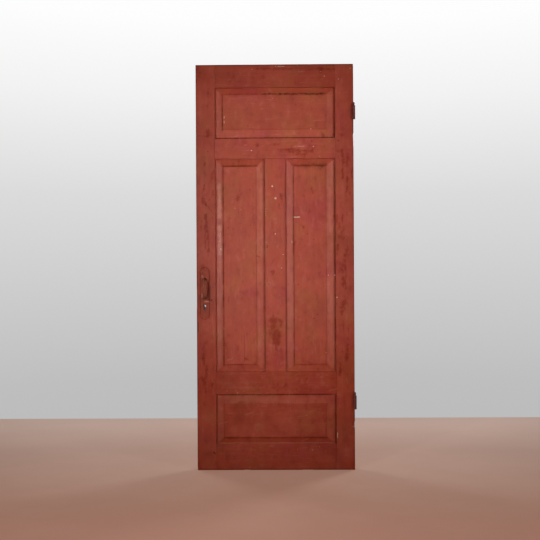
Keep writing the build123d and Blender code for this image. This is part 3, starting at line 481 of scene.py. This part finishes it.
# ------------------------------------------------------------------ frame members
def member(name, along, t0, t1, u0, u1, seed, pitch=3.6, gouges=(), tenon=None, soot_sides=(), ends=(0.0, 0.0), rim=0.0, base=0.0):
    """A planed board of the frame. t runs along it and u across its face. Arrises are worn unevenly, faces are slightly wavy."""
    r_end = 1.1
    ts = spaced(t0 + r_end, t1 - r_end, pitch)
    ts = np.concatenate([[t0, t0 + 0.32], ts, [t1 - 0.32, t1]])
    inset = np.concatenate([[r_end, r_end * 0.34], np.zeros(len(ts) - 4), [r_end * 0.34, r_end]])
    n = len(ts)

    def radius(k):
        base = 1.15 + 0.45 * fbm(ts / 38.0, np.full(n, k * 7.7), seed, 3)
        worn = np.clip(fbm(ts / 55.0, np.full(n, 40.0 + k * 3.3), seed + 5, 3) - 0.55, 0, 1) * 4.5
        return np.clip(base + worn, 0.55, 3.3)

    radii = [radius(k) for k in range(4)]
    face_u = spaced(u0 + 3.6, u1 - 3.6, pitch)
    back_u = spaced(u0 + 3.6, u1 - 3.6, 8.0)
    side_v = spaced(YF + 3.6, YR - 3.6, 5.5)
    ring = []                              # (U, V, normal u, normal v, edge nearness)
    arc = np.radians([90, 67, 45, 23, 0])

    def add(u, v, nu, nv):
        ring.append((np.broadcast_to(u, n).astype(float), np.broadcast_to(v, n).astype(float), nu, nv))

    def corner(k, cu, cv, su, sv, first):
        """The rounded arris at (cu, cv); su and sv point out of the board. first is the side it starts from."""
        r = radii[k]
        for a in (arc if first == "v" else arc[::-1]):
            nu, nv = math.cos(a) * su, math.sin(a) * sv
            add(cu - su * r + nu * r, cv - sv * r + nv * r, nu, nv)

    for u in face_u:
        add(u, YF, 0, -1)
    corner(0, u1, YF, 1, -1, "v")
    for v in side_v:
        add(u1, v, 1, 0)
    corner(1, u1, YR, 1, 1, "u")
    for u in back_u[::-1]:
        add(u, YR, 0, 1)
    corner(2, u0, YR, -1, 1, "v")
    for v in side_v[::-1]:
        add(u0, v, -1, 0)
    corner(3, u0, YF, -1, -1, "u")

    U = np.stack([r[0] for r in ring], 1)
    V = np.stack([r[1] for r in ring], 1)
    NU = np.array([r[2] for r in ring])[None, :]
    NV = np.array([r[3] for r in ring])[None, :]
    T = np.repeat(ts[:, None], U.shape[1], 1)
    # hand-planed faces, dried and painted many times
    wave = 0.28 * fbm(U / 55.0, T / 330.0, seed + 11, 3) + 0.07 * fbm(U / 9.0, T / 60.0, seed + 12, 2)
    wave = wave * np.clip((T - t0) / 20, 0, 1) * np.clip((t1 - T) / 20, 0, 1)
    depth = inset[:, None] - 0.6 * wave - 0.05
    from_edge = np.minimum(U - u0, u1 - U)
    X, Z = (U, T) if along == "z" else (T, U)
    front = (NV < -0.3)
    pale = field(X, Z, PALE) * front
    dark = field(X, Z, DARK) * front
    rub = field(X, Z, RUB) * front
    blot = field(X, Z, BLOT) * front
    depth = depth + 0.35 * np.clip(pale - 0.4, 0, 1) * front
    for tc, uc, vc, rt, ru, rv, deep in gouges:
        shape = 1 - (np.abs(T - tc) / rt) ** 4 - ((U - uc) / ru) ** 2 - ((V - vc) / rv) ** 2
        shape = np.clip(shape, 0, 1) ** 0.5
        rough = 1 + 0.35 * noise(T / 5.0, U / 5.0 + V / 7.0, seed + 3)
        hit = deep * shape * rough
        # cut towards the middle of the board's section
        cu, cv = (u0 + u1) / 2, YM
        du, dv = np.sign(cu - U), np.sign(cv - V) * 0.55
        close_u = np.clip(1 - np.minimum(U - u0, u1 - U) / 14.0, 0, 1)
        U = U + du * hit * close_u
        V = V + dv * hit
        dark = np.maximum(dark, 0.45 * np.clip(shape * 1.4 - 0.2, 0, 0.9) * (0.6 + 0.4 * noise(T / 6.0, U / 6.0, seed + 8)))
    U = U - NU * depth
    V = V - NV * depth
    # nearness to a worn arris
    corner_like = (np.abs(NU) > 0.05) & (np.abs(NV) > 0.05)
    local = 0.34 + 0.42 * fbm(T / 46.0, V / 90.0 + U / 700.0, seed + 21, 4)
    near_edge = np.where(corner_like, 1.0, np.exp(-np.maximum(from_edge, 0) / 3.0) * (NV != 0) * 0.8)
    edge = np.clip(near_edge * (local + 0.18), 0, 1)
    soot_and_shadow = np.zeros_like(U)
    for side, reach, strength in soot_sides:
        d = U - u0 if side < 0 else u1 - U
        soot_and_shadow = np.maximum(soot_and_shadow, strength * np.exp(-np.maximum(d, 0) / reach) * front)
    for amount, d in zip(ends, (T - t0, t1 - T)):
        soot_and_shadow = np.maximum(soot_and_shadow, amount * np.exp(-np.maximum(d, 0) / 5.0) * (1 + 0.4 * noise(U / 60.0, T / 60.0, seed + 31)))
    if rim:                                # dirt and paint caught round the handle's plate
        away = np.hypot(U - 42.0, T - np.clip(T, 791.0, 1009.0)) - 22.0
        soot_and_shadow = np.maximum(soot_and_shadow, rim * np.exp(-((away - 1.0) / 2.1) ** 2) * front * (0.8 + 0.5 * noise(U / 20.0, T / 20.0, seed + 33)))
    soot_and_shadow = np.clip(soot_and_shadow, 0, 1)
    soot_and_shadow[[0, 1, -2, -1]] = np.minimum(soot_and_shadow[[0, 1, -2, -1]], 0.32)      # the sawn ends are only dusty

    X, Z = (U, T) if along == "z" else (T, U)
    shade = darker(X, Z, base)
    verts = row(X, V, Z).reshape(-1, 3)
    m = U.shape[1]
    quads = []
    i = np.arange(n - 1)[:, None] * m
    j = np.arange(m)[None, :]
    a, b = i + j, i + (j + 1) % m
    c, d = b + m, a + m
    order = (a, b, c, d) if along == "z" else (a, d, c, b)
    quads = np.stack(order, -1).reshape(-1, 4).tolist()
    first, last = list(range(m)), list(range((n - 1) * m, n * m))
    if along == "z":
        quads += [first[::-1], last]
    else:
        quads += [first, last[::-1]]
    values = {"pale": pale.ravel(), "dark": dark.ravel(), "rub": rub.ravel(), "edge": edge.ravel(), "soot_and_shadow": soot_and_shadow.ravel(), "blot": blot.ravel(), "shade": shade.ravel()}
    verts = [tuple(v) for v in verts]
    if tenon:
        # the through tenons, whose end grain stands a hair proud of the stiles
        low, high = tenon
        for x_in, x_out in ((LS + 6, -0.45), (HS - 6, W + 0.45)):
            start = len(verts)
            s = 1 if x_out < x_in else -1
            e = 0.9
            rings = [(x_in, 0.0), (x_out + s * 0.8, 0.0), (x_out + s * 0.2, 0.35), (x_out, e)]
            for x, k in rings:
                for y, z in ((YM - 6.5 + k, low + k), (YM + 6.5 - k, low + k), (YM + 6.5 - k, high - k), (YM - 6.5 + k, high - k)):
                    verts.append(tuple(row(np.array(x), np.array(y), np.array(z))))
            for k in range(len(rings) - 1):
                for q in range(4):
                    p0, p1 = start + 4 * k + q, start + 4 * k + (q + 1) % 4
                    face = [p0, p1, p1 + 4, p0 + 4]
                    quads.append(face if s > 0 else face[::-1])
            cap0 = [start + q for q in range(4)]
            cap1 = [start + 4 * (len(rings) - 1) + q for q in range(4)]
            quads += [cap0[::-1], cap1] if s > 0 else [cap0, cap1[::-1]]
            for key in values:
                extra = np.zeros(4 * len(rings)) + {"edge": 0.35, "dark": 0.28, "shade": 0.2}.get(key, 0.0)
                values[key] = np.concatenate([values[key], extra])
    return make(name, verts, quads, PAINT_Z if along == "z" else PAINT_X, values, node=node_name(name))


def node_name(name):
    return name.replace("wood_", "")


LOCK_STILE = member("wood_lock_stile", "z", 0, H, 0, LS, 101, base=0.10, ends=(0.9, 1.0), rim=0.85,
       gouges=[(729, 3, YF, 26, 6, 4, 1.0), (1701, 2, YF, 5, 8, 4, 0.8), (872, 1, YF, 60, 6, 5, 0.9), (6, 2, YF, 9, 16, 9, 2.2)],
       soot_sides=[(1, 2.2, 0.04), (-1, 4.0, 0.80)])
HANGING_STILE = member("wood_hanging_stile", "z", 0, H, HS, W, 202, base=0.07, ends=(0.9, 1.0),
       gouges=[(1694, W, YF, 15, 9, 12, 2.6), (1665, W, YF, 24, 7, 10, 1.4), (232, W, YF, 16, 13, 16, 6.0), (2055, W, YF, 7, 9, 8, 1.4)],
       soot_sides=[(-1, 2.4, 0.35), (1, 4.0, 0.75)])
member("wood_bottom_rail", "x", LS, HS, 0, Z1, 303, tenon=TENONS["bottom_rail"], soot_sides=[(-1, 4.0, 0.9)], base=0.165,
       gouges=[(250, 3, YF, 20, 8, 6, 1.2), (560, 2, YF, 30, 7, 6, 1.0)])
member("wood_lock_rail", "x", LS, HS, Z2, Z3, 404, tenon=TENONS["lock_rail"], soot_sides=[(1, 2.6, 0.15), (-1, 2.6, 0.50)], base=0.13)
member("wood_frieze_rail", "x", LS, HS, Z4, Z5, 505, tenon=TENONS["frieze_rail"], soot_sides=[(1, 3.0, 0.42), (-1, 5.0, 0.22)], base=0.02)
member("wood_top_rail", "x", LS, HS, Z6, H, 606, tenon=TENONS["top_rail"], soot_sides=[(-1, 3.0, 0.05), (1, 6.0, 1.0)], base=0.20)
member("wood_muntin", "z", Z3, Z4, MX0, MX1, 707, soot_sides=[(1, 2.4, 0.40), (-1, 2.4, 0.45)])


# ------------------------------------------------------------------ raised panels
TONGUE_T, RISE, STEP = 8.6, 7.6, 2.5
PANELS = {
    "panel_top": (LS, HS, Z5, Z6, 39.5, 44.5, 45.5, 35.5),
    "panel_left": (LS, MX0, Z3, Z4, 41.0, 45.0, 37.5, 39.0),
    "panel_right": (MX1, HS, Z3, Z4, 44.5, 47.5, 37.5, 39.0),
    "panel_bottom": (LS, HS, Z1, Z2, 41.0, 50.0, 33.0, 50.0),
}


def lines(a, b, marks, pitch):
    """Grid lines from a to b at this pitch, with a close set round each mark."""
    out = [a, b]
    marks = sorted(marks)
    for m in marks:
        out += [m - 1.6, m - 0.8, m - 0.25, m + 0.25, m + 0.9, m + 1.8]
    stops = sorted([a] + marks + [b])
    for p, q in zip(stops, stops[1:]):
        k = max(1, int(round((q - p) / pitch)))
        for v in np.linspace(p, q, k + 1)[1:-1]:
            if all(abs(v - m) > 2.4 for m in marks):
                out.append(v)
    return np.array(sorted(set(round(v, 4) for v in out)))


def smoothstep(v, lo, hi):
    v = np.clip((v - lo) / (hi - lo), 0, 1)
    return v * v * (3 - 2 * v)


def panel(name, x0, x1, z0, z1, left, right, low, high, seed, grain, gap, step, base=0.0, bevel_sheen=(0, 0, 0, 0), bevel_light=(0, 0, 0, 0), gap_light=(0, 0)):
    """gap and step give how dark the opening's edge and the field's edge are painted, partly dirt and mostly painted
    shadow cast by the frame's edges and the field's step; bloom how strongly each bevel carries a painted sheen,
    standing in for the lamps' reflection; and lift how much lighter each bevel is painted, a painted highlight where it
    faces the light and painted shade where lift is negative, each as left, right, bottom, top. lit paints light beside
    the left and bottom gaps, lightening their shadow."""
    over = 4.0                             # how far the tongue goes into the grooves
    fx0, fx1, fz0, fz1 = x0 + left, x1 - right, z0 + low, z1 - high

    def sheet(front, pitch):
        xs = lines(x0 - over, x1 + over, [x0 + 0.8, fx0, fx1, x1 - 0.8], pitch)
        zs = lines(z0 - over, z1 + over, [z0 + 0.8, fz0, fz1, z1 - 0.8], pitch)
        X, Z = np.meshgrid(xs, zs)
        wob = 0.25 * noise(X / 90.0, Z / 90.0, seed)
        d = np.minimum.reduce([(X - x0 - 0.8) / (left - 0.8), (x1 - 0.8 - X) / (right - 0.8), (Z - z0 - 0.8) / (low - 0.8), (z1 - 0.8 - Z) / (high - 0.8)])
        out = np.minimum.reduce([X - fx0, fx1 - X, Z - fz0, fz1 - Z]) + wob * 0.8
        d = np.clip(d, 0, 1)
        rise = (0.80 * d + 0.20 * d ** 5) * RISE        # the plane that cut it left it a little hollow
        rise = rise + STEP * smoothstep(out, -0.35, 0.75) - 0.30 * np.exp(-((out + 1.1) / 0.9) ** 2)
        grain_wave = fbm(X / (40.0 if grain == "z" else 300.0), Z / (300.0 if grain == "z" else 40.0), seed + 4, 3)
        y = TONGUE_T / 2 + rise + 0.22 * grain_wave * np.clip(d * 3, 0, 1) + 0.05 * fbm(X / 9, Z / 9, seed + 5, 2)
        return xs, zs, X, Z, d, out, y

    verts, quads, values = [], [], {k: [] for k in KEYS}
    xs, zs, X, Z, d, out, y = sheet(True, 3.7)
    pale, dark, rub = field(X, Z, PALE), field(X, Z, DARK), field(X, Z, RUB)
    y = y - 0.3 * np.clip(pale - 0.4, 0, 1)
    verts.append(row(X, YM - y, Z).reshape(-1, 3))
    local = 0.30 + 0.45 * fbm(X / 60.0, Z / 60.0, seed + 21, 4)
    edge = np.clip(np.exp(-((out - 0.2) / 1.3) ** 2) * (local + 0.12), 0, 1)
    blot = field(X, Z, BLOT)

    def edge_dirt_and_shadow(X, Z, out):
        wander = 0.78 + 0.30 * fbm(X / 60.0, Z / 60.0, seed + 9, 3)
        total = np.zeros_like(X)
        for far, here, amount in zip((X - x0, x1 - X, Z - z0, z1 - Z), (X - fx0, fx1 - X, Z - fz0, fz1 - Z), zip(gap, step)):
            total = np.maximum(total, amount[0] * np.exp(-(np.maximum(far - 0.8, 0) / (2.6 + 4.6 * amount[0])) ** 2) * wander)
            along_edge = np.clip(1 - np.maximum(-out - 3.0, 0) / 6.0, 0, 1)
            line = 0.50 * amount[1] * np.exp(-((here + 1.8) / 3.8) ** 2) * along_edge
            cloud = 0.44 * amount[1] * np.exp(-((here + 4.5) / 8.5) ** 2) * np.clip(1 - np.maximum(-out - 13.0, 0) / 8.0, 0, 1)
            total = np.maximum(total, (line + cloud) * wander)
        return np.clip(total, 0, 1)

    def by_side(X, Z, out, amounts):
        side = np.argmin([(X - x0) / left, (x1 - X) / right, (Z - z0) / low, (z1 - Z) / high], axis=0)
        return np.asarray(amounts, float)[side] * (1 - smoothstep(out, -1.6, 0.4)) * (0.85 + 0.35 * fbm(X / 30.0, Z / 110.0, seed + 15, 3))

    # lift and lit are painted light taken off the shade, on the bevels and beside the left and bottom gaps; dust is the
    # bevels' painted sheen
    for key, data in (("pale", pale), ("dark", dark), ("rub", rub), ("edge", edge), ("soot_and_shadow", edge_dirt_and_shadow(X, Z, out)), ("blot", blot), ("shade", darker(X, Z, base) - by_side(X, Z, out, bevel_light) - gap_light[0] * np.exp(-(np.maximum(X - x0 - 0.8, 0) / 5.0) ** 2) - gap_light[1] * np.exp(-(np.maximum(Z - z0 - 0.8, 0) / 5.0) ** 2)), ("painted_sheen", by_side(X, Z, out, bevel_sheen))):
        values[key].append(data.ravel())
    nx, nz = len(xs), len(zs)
    i, j = np.meshgrid(np.arange(nz - 1), np.arange(nx - 1), indexing="ij")
    a = i * nx + j
    quads.append(np.stack([a, a + 1, a + nx + 1, a + nx], -1).reshape(-1, 4))
    front_count = nx * nz
    rim_front = np.concatenate([np.arange(nx), np.arange(1, nz) * nx + nx - 1, (nz - 1) * nx + np.arange(nx - 2, -1, -1), np.arange(nz - 2, 0, -1) * nx])
    # rear sheet
    bxs, bzs, BX, BZ, bd, bout, by = sheet(False, 9.0)
    verts.append(row(BX, YM + by, BZ).reshape(-1, 3))
    bedge = np.clip(np.exp(-((bout - 0.2) / 1.3) ** 2) * 0.4, 0, 1)
    for key in values:
        values[key].append({"edge": bedge, "soot_and_shadow": edge_dirt_and_shadow(BX, BZ, bout), "shade": darker(BX, BZ, base), "painted_sheen": by_side(BX, BZ, bout, bevel_sheen)}.get(key, np.zeros_like(bedge)).ravel())
    mx, mz = len(bxs), len(bzs)
    i, j = np.meshgrid(np.arange(mz - 1), np.arange(mx - 1), indexing="ij")
    b = front_count + i * mx + j
    quads.append(np.stack([b, b + mx, b + mx + 1, b + 1], -1).reshape(-1, 4))
    rim_back = front_count + np.concatenate([np.arange(mx), np.arange(1, mz) * mx + mx - 1, (mz - 1) * mx + np.arange(mx - 2, -1, -1), np.arange(mz - 2, 0, -1) * mx])
    faces = np.concatenate(quads).tolist()
    V = np.concatenate(verts)
    # the narrow edge between them, stitched by walking both rims
    P, Q = V[rim_front], V[rim_back]

    def walk(points):
        step = np.linalg.norm(np.diff(np.vstack([points, points[:1]])[:, [0, 2]], axis=0), axis=1)
        return np.concatenate([[0], np.cumsum(step)])

    sp, sq = walk(P), walk(Q)
    sp, sq = sp / sp[-1], sq / sq[-1]
    a, b = 0, 0
    while a < len(P) or b < len(Q):
        pa, pb = rim_front[a % len(P)], rim_back[b % len(Q)]
        if b >= len(Q) or (a < len(P) and sp[a + 1] <= sq[b + 1]):
            faces.append([int(pa), int(pb), int(rim_front[(a + 1) % len(P)])])
            a += 1
        else:
            faces.append([int(pa), int(pb), int(rim_back[(b + 1) % len(Q)])])
            b += 1
    values = {k: np.concatenate(v) for k, v in values.items()}
    return make("wood_" + name, V, faces, PAINT_Z if grain == "z" else PAINT_X, values, node=name)


# Per panel: gap and step (dirt and painted shadow at the opening's and the field's edges), base, bloom (painted sheen),
# lift (painted light on the bevels) and lit (painted light beside the gaps).
PANEL_DIRT_AND_PAINTED_LIGHT = {
    "panel_top": ((0.10, 0.90, 0.62, 0.0), (0.85, 0.40, 0.20, 0.55), 0.0, (0.04, 0.12, 0.0, 0.0), (0.0, 0.0, 0.10, -0.05)),
    "panel_left": ((0.0, 0.66, 0.15, 0.0), (0.92, 0.45, 0.68, 1.0), 0.0, (0.08, 0.28, 0.08, 0.04), (-0.01, 0.03, 0.0, -0.08), (0.30, 0.05)),
    "panel_right": ((0.16, 0.85, 0.10, 0.0), (0.84, 0.55, 0.62, 0.85), 0.0, (0.16, 0.34, 0.08, 0.04), (0.0, 0.03, 0.0, -0.08), (0.10, 0.12)),
    "panel_bottom": ((0.25, 0.90, 0.0, 0.72), (0.48, 0.40, 0.86, 0.10), 0.13, (0.12, 0.26, 0.10, 0.16), (0.01, 0.03, -0.05, 0.04), (0.12, 0.30)),
}
for k, (name, spec) in enumerate(PANELS.items()):
    panel(name, *spec, 900 + 50 * k, "x" if name in ("panel_top", "panel_bottom") else "z", *PANEL_DIRT_AND_PAINTED_LIGHT[name])


# wedges of the through tenons: only their ends show, a hair proud of the stile's edge
def wedges():
    verts, faces = [], []
    for low, high in TENONS.values():
        for edge, inner, s in ((-0.35, 58.0, 1), (W + 0.35, W - 58.0, -1)):
            for z, way in ((high + 0.15, 1), (low - 0.15, -1)):
                start = len(verts)
                top = z + way * 5.6
                for y in (YM - 6.2, YM + 6.2):
                    for x, zz in ((edge, z), (edge, top), (inner, z + way * 0.2)):
                        verts.append(tuple(row(np.array(x), np.array(y), np.array(zz))))
                a = start
                tri = [[a, a + 1, a + 2], [a + 3, a + 5, a + 4], [a, a + 3, a + 4, a + 1], [a + 1, a + 4, a + 5, a + 2], [a + 2, a + 5, a + 3, a]]
                if way * s < 0:
                    tri = [f[::-1] for f in tri]
                faces += tri
    ob = make("wood_tenon_wedges", verts, faces, PAINT_Z, {k: np.zeros(len(verts)) + {"dark": 0.3, "edge": 0.35, "shade": 0.2}.get(k, 0.0) for k in KEYS}, smooth=False, node="tenon_wedges")
    fixed = bmesh.new()
    fixed.from_mesh(ob.data)
    bmesh.ops.recalc_face_normals(fixed, faces=fixed.faces)
    fixed.to_mesh(ob.data)
    fixed.free()
    return ob


wedges()


# ------------------------------------------------------------------ what is cut into the two stiles
def solid(points, lo, hi, axis="y"):
    """A closed prism for cutting: points in leaf x and z, from lo to hi along y; or in y and z along x."""
    n = len(points)
    verts = []
    for level in (lo, hi):
        for a, b in points:
            verts.append(tuple(row(np.array(a), np.array(level), np.array(b))) if axis == "y" else tuple(row(np.array(level), np.array(a), np.array(b))))
    faces = [list(range(n))[::-1], list(range(n, 2 * n))] + [[k, (k + 1) % n, n + (k + 1) % n, n + k] for k in range(n)]
    mesh = bpy.data.meshes.new("cutter")
    mesh.from_pydata(verts, [], faces)
    mesh.update()
    fixed = bmesh.new()
    fixed.from_mesh(mesh)
    bmesh.ops.recalc_face_normals(fixed, faces=fixed.faces)
    fixed.to_mesh(mesh)
    fixed.free()
    return mesh


def keyhole(r=5.9, half=1.8, grow=0.4):
    """The keyhole as bored and sawn through the wood, a circle over a tight slot, round (42, 835)."""
    start = math.asin(half / r)
    turn = [(42.0 + r * math.sin(a), 835.0 - r * math.cos(a)) for a in np.linspace(start, 2 * math.pi - start, 28)]
    foot = 835.0 - 23.0 - grow
    round_foot = [(42.0 - half * math.cos(a), foot + half - half * math.sin(a)) for a in np.linspace(0, math.pi, 9)]
    return turn + round_foot


def carve(ob, *cutters):
    for mesh in cutters:
        tool = bpy.data.objects.new("cutter", mesh)
        bpy.context.scene.collection.objects.link(tool)
        way = ob.modifiers.new("cut", "BOOLEAN")
        way.operation, way.solver, way.object = "DIFFERENCE", "EXACT", tool
        bpy.context.view_layer.update()
        graph = bpy.context.evaluated_depsgraph_get()
        made = bpy.data.meshes.new_from_object(ob.evaluated_get(graph), preserve_all_data_layers=True, depsgraph=graph)
        ob.modifiers.remove(way)
        old, ob.data = ob.data, made
        bpy.data.meshes.remove(old)
        bpy.data.objects.remove(tool)
        bpy.data.meshes.remove(mesh)


def box_cut(x0, x1, y0, y1, z0, z1):
    return solid([(x0, z0), (x1, z0), (x1, z1), (x0, z1)], y0, y1)


carve(LOCK_STILE,
      box_cut(-4, 3.15, YM - 10.2, YM + 10.2, 774.8, 945.2),
      box_cut(3.0, 64.0, YM - 7.4, YM + 7.4, 801.0, 921.0),
      solid(keyhole(), YF - 3, YR + 3))
carve(HANGING_STILE, *[box_cut(W - 3.15, W + 4, YF - 6, 38.5, z - 64.4, z + 87.4) for z in (309.0, 1778.0)])
for ob in (LOCK_STILE, HANGING_STILE):
    ob.data.set_sharp_from_angle(angle=math.radians(38))


# ------------------------------------------------------------------ ironwork that the frame already carries
def dress(material, *names):
    for name in names:
        ob = NODES[name]
        if not ob.data.materials:
            ob.data.materials.append(material)
        for k in range(len(ob.material_slots)):
            ob.material_slots[k].material = material


dress(IRON_HINGE, "hinge_lower", "hinge_upper", "hinge_screws")
dress(PAINT_PLATE, "backplate_front", "backplate_screws_front")
dress(PAINT_REAR, "backplate_rear", "backplate_screws_rear")
dress(IRON_BARE, "pull")
dress(IRON_LOCK, "lock_faceplate", "faceplate_screws", "faceplate_rivets", "lock_case", "lock_cap", "cap_screws", "bolt_stump", "ward_ring")
dress(STEEL, "deadbolt", "bolt_spring")

# ------------------------------------------------------------------ floor, backdrop, light and camera
FLOOR_Z = -0.309


def stage_mesh(name, corners, faces, material):
    mesh = bpy.data.meshes.new(name)
    mesh.from_pydata(corners, [], faces)
    ob = bpy.data.objects.new(name, mesh)
    bpy.context.scene.collection.objects.link(ob)
    ob.data.materials.append(material)
    return ob


t = Tree("floor")
tone = t.noise(t.place, 1.6, 4.0, 0.6)
grain = t.noise(t.place, 55.0, 3.0, 0.6)
floor_colour = t.mix(t.spread(tone, 0.3, 0.7), (0.52, 0.315, 0.240), (0.57, 0.355, 0.275))
t.put(t.bsdf.inputs["Base Color"], floor_colour)
away = t.nt.nodes.new("ShaderNodeSeparateXYZ")
t.nt.links.new(t.place, away.inputs[0])
# The floor glows with painted light, a gradient dimmer in front of the leaf and brightest towards the back.
t.put(t.bsdf.inputs["Emission Color"], ramp(t.nt, t.spread(away.outputs["Y"], -1.3, 1.5, smooth=False), [
    (0.0, (0.168, 0.060, 0.032)), (0.08, (0.164, 0.060, 0.033)), (0.25, (0.140, 0.061, 0.035)), (0.65, (0.176, 0.113, 0.088)), (0.95, (0.294, 0.216, 0.184)), (1.0, (0.302, 0.224, 0.192))]))
t.bsdf.inputs["Emission Strength"].default_value = 1.0
t.bsdf.inputs["Roughness"].default_value = 0.85
t.put(t.bsdf.inputs["Normal"], t.bump(grain, 0.15, 0.002))
FLOOR = t.mat

# the wall all round is a tall drum that only shows its own even gradient, light above and grey below
t = Tree("backdrop")
parts = t.nt.nodes.new("ShaderNodeSeparateXYZ")
t.nt.links.new(t.place, parts.inputs[0])
height = t.spread(parts.outputs["Z"], -1.5, 4.5, smooth=False)
shade = ramp(t.nt, height, [(0.0, 0.495), (0.078, 0.503), (0.142, 0.515), (0.308, 0.597), (0.517, 0.708), (0.725, 0.888), (0.882, 0.985), (1.0, 1.0)])
glow = t.nt.nodes.new("ShaderNodeEmission")
t.nt.links.new(shade, glow.inputs["Color"])
t.nt.links.new(glow.outputs[0], t.nt.nodes["Material Output"].inputs["Surface"])
BACKDROP = t.mat

ground = stage_mesh("floor", [(-6.5, -6.5, FLOOR_Z), (6.5, -6.5, FLOOR_Z), (6.5, 1.64, FLOOR_Z), (-6.5, 1.64, FLOOR_Z)], [[0, 1, 2, 3]], FLOOR)
ring = [(7.0 * math.cos(2 * math.pi * k / 96), 7.0 * math.sin(2 * math.pi * k / 96)) for k in range(96)]
ground.visible_diffuse = False
drum = stage_mesh("backdrop", [(x, y, z) for z in (-9.0, 12.0) for x, y in ring], [[k, (k + 1) % 96, 96 + (k + 1) % 96, 96 + k] for k in range(96)], BACKDROP)
drum.visible_diffuse = drum.visible_glossy = drum.visible_transmission = drum.visible_shadow = False


def lamp(name, place, target, size, power, colour=(1, 1, 1), spread=180.0):
    data = bpy.data.lights.new(name, "AREA")
    data.shape = "RECTANGLE"
    data.size, data.size_y = size
    data.energy = power
    data.color = colour
    data.spread = math.radians(spread)
    ob = bpy.data.objects.new(name, data)
    bpy.context.scene.collection.objects.link(ob)
    ob.location = place
    ob.rotation_mode = "QUATERNION"
    ob.rotation_quaternion = (Vector(target) - Vector(place)).to_track_quat("-Z", "Y")
    ob.visible_camera = False
    return ob


MID = 1.10
lamp("key_right", (2.60, -3.20, MID), (-0.40, 0.0, MID), (0.30, 0.9), 5.6, spread=52)
lamp("key_left", (-2.30, -3.60, 0.86), (-0.40, 0.0, 0.86), (0.16, 1.7), 7.6, spread=60)
lamp("front", (-0.4, -6.3, 0.9), (-0.4, 0.0, 0.9), (3.4, 1.6), 26.0)
lamp("rear_left", (-2.6, 2.6, 1.4), (-0.4, 0.05, 0.7), (1.0, 1.6), 5.5, spread=70)
lamp("rear_right", (1.9, 2.6, 1.4), (-0.4, 0.05, 0.7), (1.0, 1.6), 8.5, spread=70)

world = bpy.context.scene.world or bpy.data.worlds.new("World")
bpy.context.scene.world = world
world.use_nodes = True
world.node_tree.nodes["Background"].inputs[0].default_value = (0.96, 0.97, 1.0, 1.0)
world.node_tree.nodes["Background"].inputs[1].default_value = 0.18

bpy.context.scene.view_settings.view_transform = "Standard"
bpy.context.scene.view_settings.look = "None"
bpy.context.scene.view_settings.exposure = 0.0
bpy.context.scene.view_settings.gamma = 1.0

cam_data = bpy.data.cameras.new("camera")
cam = bpy.data.objects.new("camera", cam_data)
bpy.context.scene.collection.objects.link(cam)
bpy.context.scene.camera = cam
pitch, yaw, roll = math.radians(-0.209), math.radians(0.750), math.radians(-0.310)
fwd = Vector((-math.sin(yaw) * math.cos(pitch), math.cos(yaw) * math.cos(pitch), math.sin(pitch)))
right = Vector((math.cos(yaw), math.sin(yaw), 0.0))
up = right.cross(fwd)
r = math.cos(roll) * right + math.sin(roll) * up
u = -math.sin(roll) * right + math.cos(roll) * up
m = Matrix((r, u, -fwd)).transposed().to_4x4()
m.translation = Vector((-0.3647, 0.0092 - 4.75, 0.725))
cam.matrix_world = m
cam_data.lens = 62.35
cam_data.sensor_width = 36.0
cam_data.clip_start = 0.05
